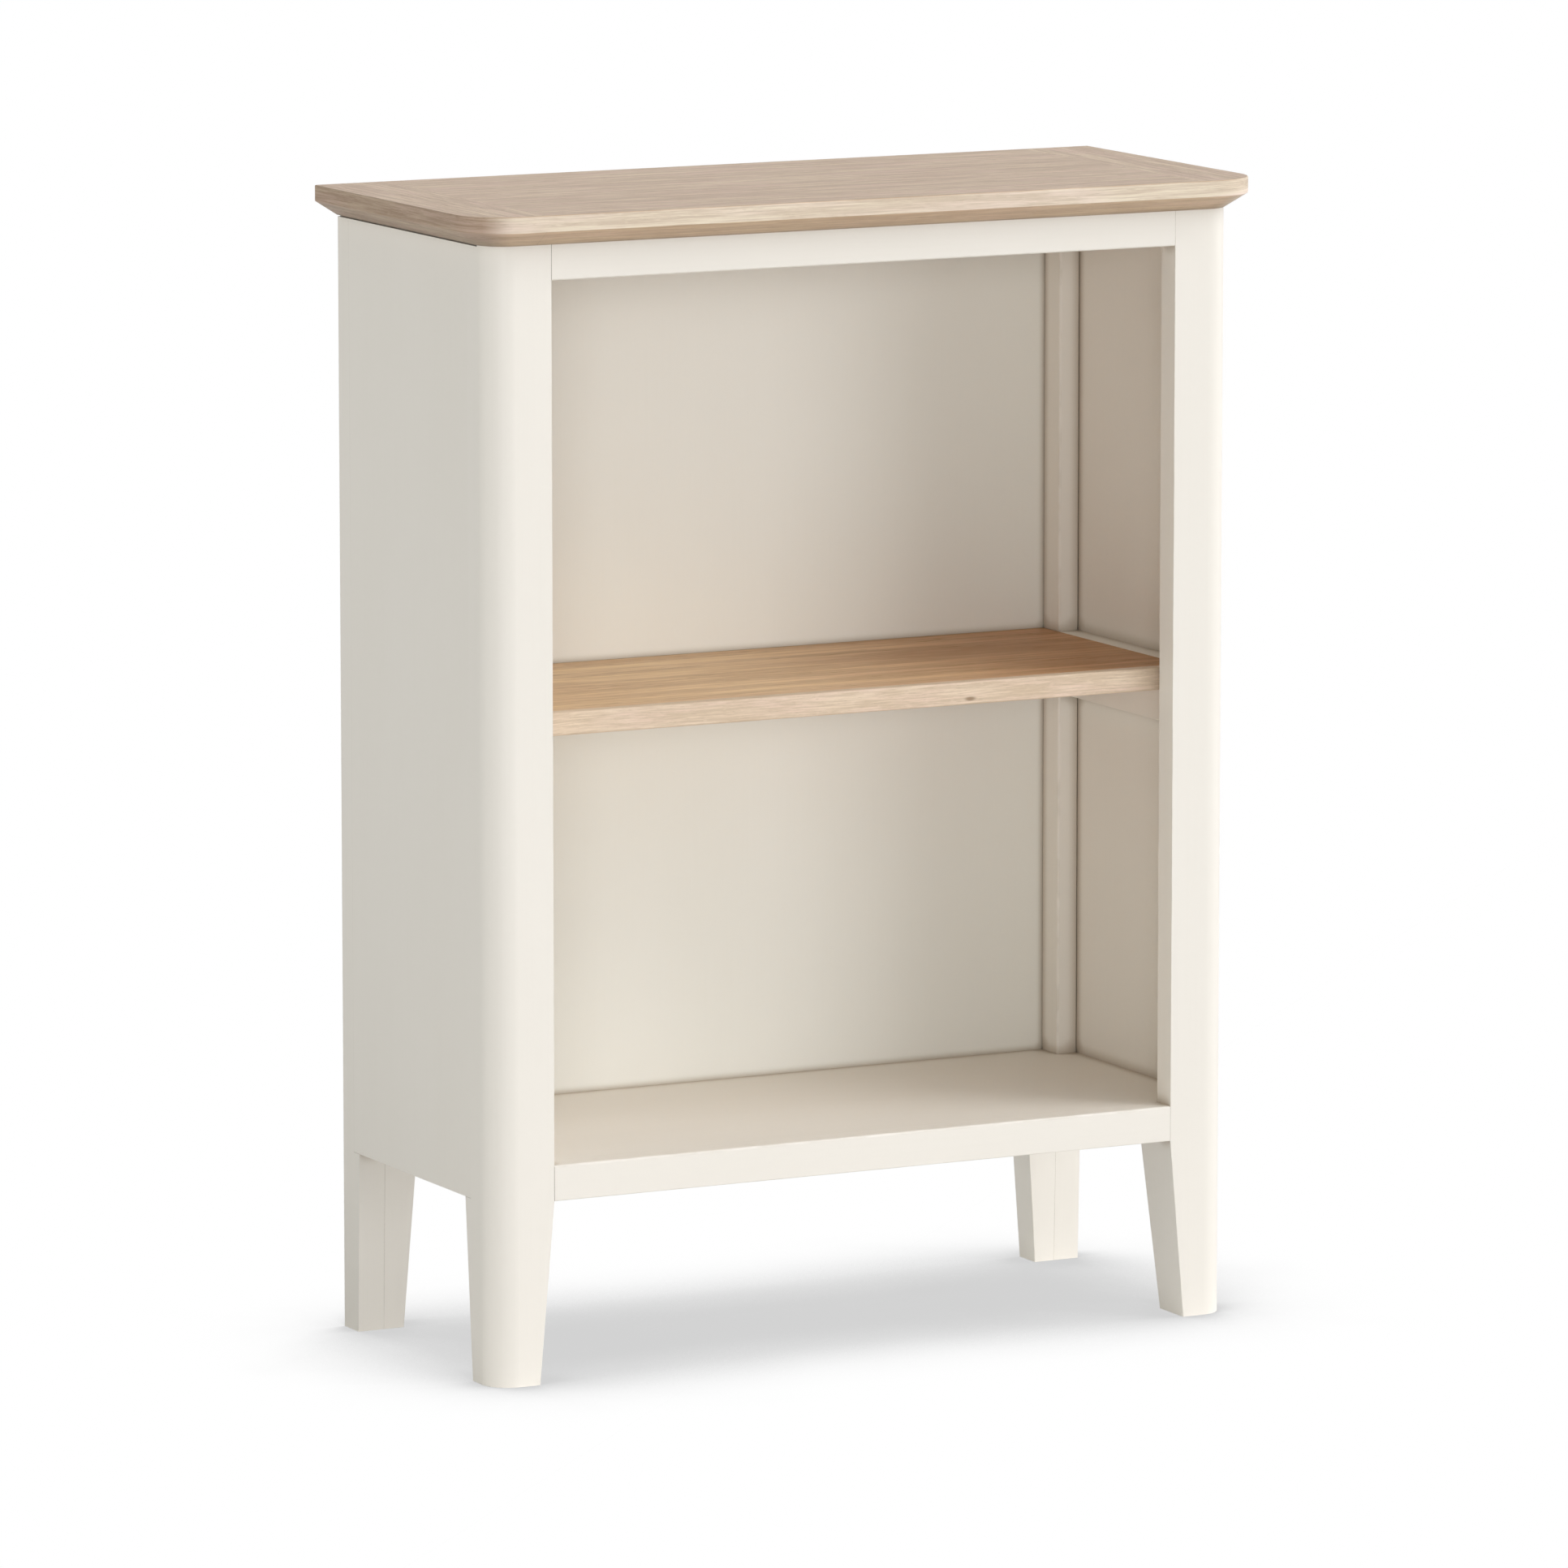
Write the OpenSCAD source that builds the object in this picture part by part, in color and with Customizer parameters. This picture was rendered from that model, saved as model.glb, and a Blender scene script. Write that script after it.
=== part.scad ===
// Small two-bay bookcase on tapered legs: painted case, oak top and oak shelf.
// Millimetres, +Z up. The origin is on the floor, under the centre of the top. The front faces -Y.

/* [Overall] */
// Width over the top
top_w = 680; // [580:1:860]
// Depth over the top, front to back
top_d = 290; // [260:1:380]
// Height from the floor to the top's upper face
overall_h = 900; // [800:1:1100]

/* [Top] */
// Thickness of the top
top_t = 24; // [22:0.5:34]
// Height of the square edge above the under-chamfer
edge_h = 12.5; // [9:0.5:16]
// How far the top stands out past the front and both sides of the case
overhang = 19; // [14:0.5:30]
// Flat rim left between the chamfer's lower edge and the case
chamfer_rim = 0.5; // [0:0.25:4]
// Rounding of the top's upper edge
top_arris = 1; // [0.25:0.25:3]
// Width of each cross-grained end board of the top
end_board_w = 58; // [52:1:90]
// Length of the tongue that joins the top panel to its end boards
tongue_l = 10; // [6:0.5:12]
// Thickness of the tongue
tongue_t = 8; // [5:0.5:9]
// Distance from the front and rear edges to the tongue's ends
tongue_stop = 60; // [52:1:80]

/* [Front frame] */
// Width of each front stile
stile_w = 52; // [46:1:70]
// Thickness of each front stile, front to back
stile_t = 22; // [20:0.5:30]
// Radius of the stiles' outer front corner
corner_r = 22; // [6:0.5:24]
// Thickness of the front and rear rails
rail_t = 20; // [18:0.5:22]
// Height of the rails under the top
top_rail_h = 27.5; // [24:0.5:45]
// Height of the front rail under the base
bottom_rail_h = 28; // [25:1:45]
// Rounding of the top rail's lower front edge
opening_arris = 1.5; // [0.5:0.25:3]
// Rounding of the bottom rail's upper front edge
rail_arris = 2; // [0.5:0.5:4]

/* [Legs] */
// Height of the legs below the case
leg_h = 142; // [100:1:180]
// Depth of the front legs where they meet the case
front_leg_d = 50; // [48:1:70]
// Width of the rear legs where they meet the case
rear_leg_w = 50; // [46:1:70]
// Width of every leg at the floor
foot_w = 39.5; // [34:0.5:44]
// Depth of the front legs at the floor
front_foot_d = 38; // [33:1:46]
// Depth of the rear legs at the floor
rear_foot_d = 26; // [22:1:29]

/* [Sides and back] */
// Thickness of the corner posts across the case
post_w = 22; // [20:0.5:26]
// Depth of the rear posts
rear_post_d = 30; // [29:1:44]
// Rounding of the posts' corners inside the case
post_arris = 2; // [0.5:0.5:4]
// Rounding of the rear posts where they meet the side panels and the back
seam_arris = 1.2; // [0.25:0.25:3]
// Height of the shadow gap under the top along both sides
shadow_gap_h = 1.2; // [0.5:0.1:3]
// Depth of the shadow gap into the sides
shadow_gap_d = 2.5; // [0.5:0.1:3]
// Thickness of the side panels
side_panel_t = 4; // [3:0.5:7]
// Lap of the side panels into the posts
panel_lap = 10; // [6:0.5:14]
// Thickness of the back panel
back_t = 4; // [3:0.5:7]
// Width of post left showing beside the back panel
back_margin = 10; // [6:0.5:12]

/* [Shelf and base] */
// Height of the shelf's upper face above the floor
shelf_h = 514; // [420:1:600]
// Thickness of the shelf
shelf_t = 18; // [15:0.5:25]
// Distance from the front of the case to the shelf's front edge
shelf_setback = 30; // [26:0.5:60]
// Depth of the shelf's front lipping
lipping_d = 10; // [6:0.5:16]
// Rounding of the lipping's front edges
lipping_arris = 1.5; // [0.5:0.25:3]
// Height of the bearers at the shelf's ends
bearer_h = 50; // [44:1:70]
// Thickness of the base panel
base_t = 12; // [9:0.5:15]
// Clearance round the boards that are let in between the posts
fit_gap = 0.2; // [0.1:0.05:0.5]

/* [Dowels] */
// Diameter of the dowels
dowel_d = 6; // [5:0.5:6]
// Length of the dowels
dowel_l = 24; // [18:1:26]
// Distance between the two dowels in the end of a rail
rail_dowel_pitch = 14; // [13:0.5:16]
// Distance between the two dowels in the end of a bearer
bearer_dowel_pitch = 30; // [20:1:34]
// Distance from the shelf's bearer ends to the shelf's dowels
shelf_dowel_in = 40; // [30:1:55]
// Distance from the stile's back to the dowels of the front leg blocks
leg_dowel_in = 8; // [6:0.5:10]
// Heights of the leg dowels above the floor: lower row
leg_dowel_low = 44; // [34:1:50]
// Heights of the leg dowels above the floor: upper row
leg_dowel_high = 108; // [92:1:115]
// Number of dowels down each stile
stile_dowels_n = 4; // [2:1:6]

/* [Screws] */
// Diameter of the screws' shanks
screw_d = 4; // [3:0.25:4.5]
// Diameter of the screws' heads
screw_head_d = 8; // [6.5:0.25:9]
// Height of the countersunk heads
screw_head_h = 2.5; // [2:0.25:3]
// Length of each slot of the cross recess in the heads
screw_cross_l = 4.2; // [2.5:0.1:4.4]
// Width of those slots
screw_cross_w = 1.1; // [0.8:0.1:1.3]
// Depth of the cross recess
screw_cross_h = 1.5; // [0.8:0.1:1.6]
// Length of the screw's point
screw_point = 4; // [2:0.5:5]
// Length of screw that enters the top
top_bite = 15; // [10:0.5:18]
// Length of screw that enters the base panel
base_bite = 7.5; // [6:0.5:8]
// Length of the back panel's screws
back_screw_l = 16; // [13:0.5:18]
// Distance from the front opening's sides to the outer screws of the rails
screw_inset = 80; // [50:1:110]
// Distance from the side rails' ends to their screws
side_screw_in = 30; // [22:1:45]
// Number of screws down each side of the back panel
back_screws_n = 5; // [3:1:8]
// Distance from the rails to the first and last of those screws
back_screw_in = 60; // [40:1:90]

/* [Hidden] */
// Radial play of every bore and extra depth at its end
bore_play = 0.1;
bore_end = 1;
// Overshoot of cutting shapes past the faces that they cut
cut = 1;
waste_reach = 60;
$fn = 96;

oak = "burlywood";
oak_edge = "wheat";
paint = "ivory";
beech = "tan";
steel = "silver";

// Levels above the floor
case_h = overall_h - top_t;
rail_low_z = case_h - top_rail_h;
base_z = leg_h + bottom_rail_h;
base_under_z = base_z - base_t;
chamfer_top_z = overall_h - edge_h;
shelf_under_z = shelf_h - shelf_t;
bearer_mid_z = shelf_h - bearer_h / 2;
top_rail_mid_z = (rail_low_z + case_h) / 2;
bottom_rail_mid_z = (leg_h + base_z) / 2;
under_rail_mid_z = (leg_h + base_under_z) / 2;

// Planes across the case, given for the right-hand side
side_x = top_w / 2 - overhang;
open_x = side_x - stile_w;
post_in_x = side_x - post_w;
panel_in_x = side_x - side_panel_t;
side_rail_x = (post_in_x + panel_in_x) / 2;
rear_leg_in_x = side_x - rear_leg_w;
foot_in_x = side_x - foot_w;
back_edge_x = side_x - back_margin;
back_screw_x = (back_edge_x + post_in_x) / 2;
end_joint_x = top_w / 2 - end_board_w;

// Planes from front to back
front_y = -top_d / 2 + overhang;
rear_y = top_d / 2;
stile_back_y = front_y + stile_t;
rail_back_y = front_y + rail_t;
rail_mid_y = front_y + rail_t / 2;
front_leg_back_y = front_y + front_leg_d;
front_foot_back_y = front_y + front_foot_d;
rear_post_front_y = rear_y - rear_post_d;
rear_foot_front_y = rear_y - rear_foot_d;
back_y = rear_y - back_t;
rear_rail_front_y = back_y - rail_t;
rear_rail_mid_y = back_y - rail_t / 2;
side_mid_y = (front_leg_back_y + rear_post_front_y) / 2;
shelf_front_y = front_y + shelf_setback;
lipping_back_y = shelf_front_y + lipping_d;

// Roundings, which stay inside the pieces that carry them
round_r = min(corner_r, stile_t);
top_round_r = round_r + overhang;
chamfer_in = overhang - chamfer_rim;
chamfer_h = top_t - edge_h;

// Places of the fastenings
pair = [-1, 1];
leg_dowel_rows = [leg_dowel_low, leg_dowel_high];
leg_dowel_mid = (leg_dowel_low + leg_dowel_high) / 2;
screw_x = open_x - screw_inset;
screw_row = [-screw_x, 0, screw_x];
half_screw_row = [-screw_x / 2, screw_x / 2];
side_screw_row = [front_leg_back_y + side_screw_in, rear_post_front_y - side_screw_in];
shelf_dowel_row = [front_leg_back_y + shelf_dowel_in, rear_post_front_y - shelf_dowel_in];
stile_dowel_step = (rail_low_z - base_z) / stile_dowels_n;
stile_dowel_row = [for (i = [0 : stile_dowels_n - 1]) base_z + (i + 0.5) * stile_dowel_step];
back_screw_low = base_z + back_screw_in;
back_screw_step = (rail_low_z - back_screw_in - back_screw_low) / (back_screws_n - 1);
back_screw_row = [for (i = [0 : back_screws_n - 1]) back_screw_low + i * back_screw_step];

// Box between two opposite corners
module block(low, high) {
    translate(low) cube(high - low);
}

// Draws a right-hand piece as it is, and its mirror image for the left
module on_side(side) {
    if (side < 0) mirror([1, 0, 0]) children();
    else children();
}

// Section in Y and Z, drawn along X
module along_x(x0, x1) {
    translate([x0, 0, 0]) rotate([90, 0, 90]) linear_extrude(x1 - x0) children();
}

// Section in X and Z, drawn along Y
module along_y(y0, y1) {
    translate([0, y1, 0]) rotate([90, 0, 0]) linear_extrude(y1 - y0) children();
}

// Waste outside a rounded corner at [0, 0], with the piece towards +X and +Y
module corner_waste(r) {
    difference() {
        translate([-cut, -cut]) square(r + cut);
        translate([r, r]) circle(r);
    }
}

// Waste beside a leg that tapers below the case, on the side that waste (1 or -1) gives
module taper_waste(top, foot, waste) {
    low = foot + (foot - top) / leg_h * cut;
    polygon([
        [top, leg_h],
        [low, -cut],
        [top + waste * waste_reach, -cut],
        [top + waste * waste_reach, leg_h]
    ]);
}

// Waste inside the legs, from a leg's full width at the case to its width at the floor
module inner_taper(top_x) {
    along_y(front_y - cut, rear_y + cut) taper_waste(top_x, foot_in_x, -1);
}

// Waste behind the front legs
module front_leg_taper() {
    along_x(0, side_x + cut) taper_waste(front_leg_back_y, front_foot_back_y, 1);
}

// Waste in front of the rear legs
module rear_leg_taper() {
    along_x(0, side_x + cut) taper_waste(rear_post_front_y, rear_foot_front_y, -1);
}

// Dowels and their bores, centred on a joint
module dowel(play = 0, end = 0) {
    cylinder(d = dowel_d + 2 * play, h = dowel_l + 2 * end, center = true);
}

module dowel_x(place, play = 0, end = 0) {
    translate(place) rotate([0, 90, 0]) dowel(play, end);
}

module dowel_y(place, play = 0, end = 0) {
    translate(place) rotate([90, 0, 0]) dowel(play, end);
}

// Countersunk screw along +Z with its head's face at the origin
module screw(length) {
    difference() {
        union() {
            cylinder(d1 = screw_head_d, d2 = screw_d, h = screw_head_h);
            cylinder(d = screw_d, h = length - screw_point);
            translate([0, 0, length - screw_point])
                cylinder(d1 = screw_d, d2 = screw_d / 8, h = screw_point);
        }
        for (slot = [[screw_cross_l, screw_cross_w], [screw_cross_w, screw_cross_l]])
            block([-slot[0] / 2, -slot[1] / 2, -cut], [slot[0] / 2, slot[1] / 2, screw_cross_h]);
    }
}

// Bore for that screw, with room for its head
module screw_bore(length) {
    wide = screw_head_d + 2 * bore_play;
    narrow = screw_d + 2 * bore_play;
    cylinder(d1 = wide, d2 = narrow, h = screw_head_h);
    translate([0, 0, -cut]) cylinder(d = wide, h = cut);
    translate([0, 0, -cut]) cylinder(d = narrow, h = length + bore_end + cut);
}

// Dowels between the front rails and the stiles
module front_rail_dowels(play = 0, end = 0) {
    for (side = pair, mid = [top_rail_mid_z, bottom_rail_mid_z], up = pair)
        dowel_x([side * open_x, rail_mid_y, mid + up * rail_dowel_pitch / 2], play, end);
}

// Dowels at the ends of the rear rails
module rear_rail_dowels(play = 0, end = 0) {
    for (side = pair) {
        dowel_x([side * post_in_x, rear_rail_mid_y, top_rail_mid_z], play, end);
        dowel_x([side * rear_leg_in_x, rear_rail_mid_y, under_rail_mid_z], play, end);
    }
}

// Dowels at the ends of the right-hand side rails and bearer
module side_rail_dowels(play = 0, end = 0) {
    for (y = [front_leg_back_y, rear_post_front_y]) {
        for (up = pair) {
            dowel_y([side_rail_x, y, top_rail_mid_z + up * rail_dowel_pitch / 2], play, end);
            dowel_y([side_rail_x, y, bearer_mid_z + up * bearer_dowel_pitch / 2], play, end);
        }
        dowel_y([side_rail_x, y, under_rail_mid_z], play, end);
    }
}

// Dowels between the right-hand stile and the post and leg block behind it
module stile_joint_dowels(play = 0, end = 0) {
    for (z = stile_dowel_row)
        dowel_y([(side_x + post_in_x) / 2, stile_back_y, z], play, end);
    dowel_y([(foot_in_x + post_in_x) / 2, stile_back_y, leg_dowel_mid], play, end);
}

// Dowels between the right-hand posts and their leg blocks
module leg_joint_dowels(play = 0, end = 0) {
    for (z = leg_dowel_rows) {
        dowel_x([post_in_x, stile_back_y + leg_dowel_in, z], play, end);
        dowel_x([post_in_x, rear_rail_mid_y, z], play, end);
    }
}

// Dowels that carry the shelf between its bearers
module shelf_joint_dowels(play = 0, end = 0) {
    for (side = pair, y = shelf_dowel_row)
        dowel_x([side * post_in_x, y, shelf_h - shelf_t / 2], play, end);
}

// Dowels between the front bottom rail and the base panel
module base_joint_dowels(play = 0, end = 0) {
    for (x = screw_row)
        dowel_y([x, rail_back_y, base_z - base_t / 2], play, end);
}

// Places of the screws that pull the top down, with their heads under the rails
module top_screw_places() {
    for (x = screw_row, y = [rail_mid_y, rear_rail_mid_y])
        translate([x, y, rail_low_z]) children();
    for (side = pair)
        translate([side * side_rail_x, side_mid_y, rail_low_z]) children();
}

// Places of the screws that hold the base panel down on its rails
module base_screw_places() {
    for (x = screw_row)
        translate([x, rear_rail_mid_y, leg_h]) children();
    for (side = pair, y = side_screw_row)
        translate([side * side_rail_x, y, leg_h]) children();
}

// Places of the back panel's screws, driven in from behind
module back_screw_places() {
    for (side = pair, z = back_screw_row)
        translate([side * back_screw_x, rear_y, z]) rotate([90, 0, 0]) children();
    for (x = half_screw_row, z = [top_rail_mid_z, under_rail_mid_z])
        translate([x, rear_y, z]) rotate([90, 0, 0]) children();
}

module top_screw_bores() {
    top_screw_places() screw_bore(top_rail_h + top_bite);
}

module base_screw_bores() {
    base_screw_places() screw_bore(base_under_z - leg_h + base_bite);
}

module back_screw_bores() {
    back_screw_places() screw_bore(back_screw_l);
}

// Section of the waste over the top's rounded upper edge, with the edge's outer face at 0
module arris_waste() {
    translate([0, overall_h]) mirror([0, 1]) corner_waste(top_arris);
}

// Waste over the right-hand front corner, where the rounded upper edge turns
module turned_arris_waste() {
    translate([top_w / 2 - top_round_r, -top_d / 2 + top_round_r, 0]) rotate([0, 0, -90])
        rotate_extrude(angle = 90) translate([top_round_r, 0]) mirror([1, 0]) arris_waste();
}

// Section of the top's chamfered edge, with the edge's outer face at 0 and the board towards +s
module edge_waste() {
    slope = chamfer_in / chamfer_h;
    polygon([
        [0, chamfer_top_z],
        [chamfer_in + slope * cut, case_h - cut],
        [-cut, case_h - cut],
        [-cut, chamfer_top_z]
    ]);
}

// Waste under the right-hand front corner, where the chamfer turns as a cone
module cone_waste() {
    slope = chamfer_in / chamfer_h;
    low_r = top_round_r - chamfer_in - slope * cut;
    translate([top_w / 2 - top_round_r, -top_d / 2 + top_round_r, case_h - cut]) difference() {
        translate([0, -top_round_r - cut, 0]) cube([top_round_r + cut, top_round_r + cut, chamfer_h + cut]);
        cylinder(r1 = low_r, r2 = top_round_r, h = chamfer_h + cut);
    }
}

module top_panel() {
    tongue_z = (case_h + overall_h) / 2;
    color(oak) difference() {
        union() {
            along_x(-end_joint_x, end_joint_x) difference() {
                translate([-top_d / 2, case_h]) square([top_d, top_t]);
                translate([-top_d / 2, 0]) edge_waste();
                translate([-top_d / 2, 0]) arris_waste();
                translate([top_d / 2, 0]) mirror([1, 0]) arris_waste();
            }
            for (side = pair)
                translate([side * end_joint_x, 0, tongue_z])
                    cube([2 * tongue_l, top_d - 2 * tongue_stop, tongue_t], center = true);
        }
        top_screw_bores();
    }
}

module top_end(side) {
    groove_h = tongue_t + 2 * fit_gap;
    groove_half_d = top_d / 2 - tongue_stop + fit_gap;
    groove_z = (case_h + overall_h) / 2 - groove_h / 2;
    color(oak) difference() {
        on_side(side) difference() {
            translate([0, 0, case_h]) linear_extrude(top_t) difference() {
                translate([end_joint_x, -top_d / 2]) square([end_board_w, top_d]);
                translate([top_w / 2, -top_d / 2]) mirror([1, 0]) corner_waste(top_round_r);
            }
            along_x(end_joint_x - cut, top_w / 2 + cut) {
                translate([-top_d / 2, 0]) edge_waste();
                translate([-top_d / 2, 0]) arris_waste();
                translate([top_d / 2, 0]) mirror([1, 0]) arris_waste();
            }
            translate([top_w / 2, 0, 0]) mirror([1, 0, 0]) along_y(-top_d / 2 - cut, rear_y + cut) {
                edge_waste();
                arris_waste();
            }
            cone_waste();
            turned_arris_waste();
            block([end_joint_x - cut, -groove_half_d, groove_z],
                  [end_joint_x + tongue_l + fit_gap, groove_half_d, groove_z + groove_h]);
        }
        top_screw_bores();
    }
}

module front_stile(side) {
    color(paint) difference() {
        on_side(side) difference() {
            linear_extrude(case_h) difference() {
                translate([open_x, front_y]) square([stile_w, stile_t]);
                translate([side_x, front_y]) mirror([1, 0]) corner_waste(round_r);
            }
            inner_taper(open_x);
            stile_joint_dowels(bore_play, bore_end);
        }
        front_rail_dowels(bore_play, bore_end);
    }
}

module front_top_rail() {
    color(paint) difference() {
        along_x(-open_x, open_x) difference() {
            translate([front_y, rail_low_z]) square([rail_t, top_rail_h]);
            translate([front_y, rail_low_z]) corner_waste(opening_arris);
        }
        front_rail_dowels(bore_play, bore_end);
        top_screw_bores();
    }
}

module front_bottom_rail() {
    color(paint) difference() {
        along_x(-open_x, open_x) difference() {
            translate([front_y, leg_h]) square([rail_t, bottom_rail_h]);
            translate([front_y, base_z]) mirror([0, 1]) corner_waste(rail_arris);
        }
        front_rail_dowels(bore_play, bore_end);
        base_joint_dowels(bore_play, bore_end);
    }
}

// Narrow gap under the top that runs along a side of the case behind the stile
module shadow_gap() {
    block([side_x - shadow_gap_d, stile_back_y - cut, case_h - shadow_gap_h],
          [side_x + cut, rear_y + cut, case_h + cut]);
}

module front_post(side) {
    color(paint) on_side(side) difference() {
        block([post_in_x, stile_back_y, 0], [side_x, front_leg_back_y, case_h]);
        front_leg_taper();
        block([panel_in_x, front_leg_back_y - panel_lap, leg_h],
              [side_x + cut, front_leg_back_y + cut, case_h + cut]);
        translate([post_in_x, front_leg_back_y, base_z]) linear_extrude(case_h) mirror([0, 1]) corner_waste(post_arris);
        shadow_gap();
        stile_joint_dowels(bore_play, bore_end);
        side_rail_dowels(bore_play, bore_end);
        leg_joint_dowels(bore_play, bore_end);
    }
}

module front_leg_block(side) {
    color(paint) on_side(side) difference() {
        block([open_x, stile_back_y, 0], [post_in_x, front_leg_back_y, base_under_z]);
        inner_taper(open_x);
        front_leg_taper();
        stile_joint_dowels(bore_play, bore_end);
        leg_joint_dowels(bore_play, bore_end);
    }
}

module rear_post(side) {
    color(paint) difference() {
        on_side(side) difference() {
            block([post_in_x, rear_post_front_y, 0], [side_x, rear_y, case_h]);
            rear_leg_taper();
            block([panel_in_x, rear_post_front_y - cut, leg_h],
                  [side_x + cut, rear_post_front_y + panel_lap, case_h + cut]);
            block([post_in_x - cut, back_y, leg_h], [back_edge_x, rear_y + cut, case_h + cut]);
            translate([post_in_x, rear_post_front_y, base_z]) linear_extrude(case_h) corner_waste(post_arris);
            translate([panel_in_x, rear_post_front_y, base_z]) linear_extrude(case_h) mirror([1, 0]) corner_waste(seam_arris);
            translate([post_in_x, back_y, base_z]) linear_extrude(case_h) mirror([0, 1]) corner_waste(seam_arris);
            shadow_gap();
            side_rail_dowels(bore_play, bore_end);
            leg_joint_dowels(bore_play, bore_end);
        }
        rear_rail_dowels(bore_play, bore_end);
        back_screw_bores();
    }
}

module rear_leg_block(side) {
    color(paint) difference() {
        on_side(side) difference() {
            block([rear_leg_in_x, rear_post_front_y, 0], [post_in_x, rear_y, base_under_z]);
            inner_taper(rear_leg_in_x);
            rear_leg_taper();
            block([rear_leg_in_x - cut, back_y, leg_h], [post_in_x + cut, rear_y + cut, base_under_z + cut]);
            leg_joint_dowels(bore_play, bore_end);
        }
        rear_rail_dowels(bore_play, bore_end);
    }
}

module side_panel(side) {
    color(paint) on_side(side) difference() {
        block([panel_in_x, front_leg_back_y - panel_lap, leg_h],
              [side_x, rear_post_front_y + panel_lap, case_h]);
        shadow_gap();
    }
}

// Rail of a side frame between the posts, from one level to another
module side_rail(low_z, high_z) {
    block([post_in_x, front_leg_back_y, low_z], [panel_in_x, rear_post_front_y, high_z]);
}

module side_top_rail(side) {
    color(paint) difference() {
        on_side(side) difference() {
            side_rail(rail_low_z, case_h);
            side_rail_dowels(bore_play, bore_end);
        }
        top_screw_bores();
    }
}

module side_bottom_rail(side) {
    color(paint) difference() {
        on_side(side) difference() {
            side_rail(leg_h, base_under_z);
            side_rail_dowels(bore_play, bore_end);
        }
        base_screw_bores();
    }
}

module shelf_bearer(side) {
    color(paint) difference() {
        on_side(side) difference() {
            side_rail(shelf_h - bearer_h, shelf_h);
            side_rail_dowels(bore_play, bore_end);
        }
        shelf_joint_dowels(bore_play, bore_end);
    }
}

module shelf_board() {
    half = post_in_x - fit_gap;
    color(oak) difference() {
        block([-half, lipping_back_y, shelf_under_z], [half, back_y - fit_gap, shelf_h]);
        shelf_joint_dowels(bore_play, bore_end);
    }
}

module shelf_lipping() {
    half = post_in_x - fit_gap;
    color(oak_edge) along_x(-half, half) difference() {
        translate([shelf_front_y, shelf_under_z]) square([lipping_d, shelf_t]);
        translate([shelf_front_y, shelf_under_z]) corner_waste(lipping_arris);
        translate([shelf_front_y, shelf_h]) mirror([0, 1]) corner_waste(lipping_arris);
    }
}

module base_panel() {
    low = base_under_z - cut;
    high = base_z + cut;
    color(paint) difference() {
        block([-panel_in_x, rail_back_y, base_under_z], [panel_in_x, back_y, base_z]);
        for (side = pair) on_side(side) {
            block([open_x - fit_gap, rail_back_y - cut, low], [side_x, stile_back_y + fit_gap, high]);
            block([post_in_x - fit_gap, rail_back_y - cut, low], [side_x, front_leg_back_y + fit_gap, high]);
            block([post_in_x - fit_gap, rear_post_front_y - fit_gap, low], [side_x, rear_y, high]);
        }
        base_joint_dowels(bore_play, bore_end);
        base_screw_bores();
    }
}

module back_panel() {
    color(paint) difference() {
        block([-back_edge_x, back_y, leg_h], [back_edge_x, rear_y, case_h]);
        back_screw_bores();
    }
}

module rear_top_rail() {
    color(paint) difference() {
        block([-post_in_x, rear_rail_front_y, rail_low_z], [post_in_x, back_y, case_h]);
        rear_rail_dowels(bore_play, bore_end);
        top_screw_bores();
        back_screw_bores();
    }
}

module rear_bottom_rail() {
    color(paint) difference() {
        block([-rear_leg_in_x, rear_rail_front_y, leg_h], [rear_leg_in_x, back_y, base_under_z]);
        rear_rail_dowels(bore_play, bore_end);
        base_screw_bores();
        back_screw_bores();
    }
}

module frame_dowels() {
    color(beech) {
        front_rail_dowels();
        rear_rail_dowels();
        for (side = pair) on_side(side) side_rail_dowels();
    }
}

module stile_dowels() {
    color(beech) for (side = pair) on_side(side) stile_joint_dowels();
}

module leg_dowels() {
    color(beech) for (side = pair) on_side(side) leg_joint_dowels();
}

module shelf_dowels() {
    color(beech) shelf_joint_dowels();
}

module base_dowels() {
    color(beech) base_joint_dowels();
}

module top_screws() {
    color(steel) top_screw_places() screw(top_rail_h + top_bite);
}

module base_screws() {
    color(steel) base_screw_places() screw(base_under_z - leg_h + base_bite);
}

module back_screws() {
    color(steel) back_screw_places() screw(back_screw_l);
}

top_panel();
top_end(-1);  // top_end_left
top_end(1);  // top_end_right
front_stile(-1);  // front_stile_left
front_stile(1);  // front_stile_right
front_top_rail();
front_bottom_rail();
front_post(-1);  // front_post_left
front_post(1);  // front_post_right
front_leg_block(-1);  // front_leg_block_left
front_leg_block(1);  // front_leg_block_right
rear_post(-1);  // rear_post_left
rear_post(1);  // rear_post_right
rear_leg_block(-1);  // rear_leg_block_left
rear_leg_block(1);  // rear_leg_block_right
side_panel(-1);  // side_panel_left
side_panel(1);  // side_panel_right
side_top_rail(-1);  // side_top_rail_left
side_top_rail(1);  // side_top_rail_right
side_bottom_rail(-1);  // side_bottom_rail_left
side_bottom_rail(1);  // side_bottom_rail_right
shelf_bearer(-1);  // shelf_bearer_left
shelf_bearer(1);  // shelf_bearer_right
shelf_board();
shelf_lipping();
base_panel();
back_panel();
rear_top_rail();
rear_bottom_rail();
frame_dowels();
stile_dowels();
leg_dowels();
shelf_dowels();
base_dowels();
top_screws();
base_screws();
back_screws();
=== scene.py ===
"""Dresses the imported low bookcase: oak top and shelf, painted case, screws, stage and camera."""

import math
from typing import NamedTuple

import bmesh
import bpy
from bpy.props import FloatProperty, FloatVectorProperty, PointerProperty
from mathutils import Matrix, Vector


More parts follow.
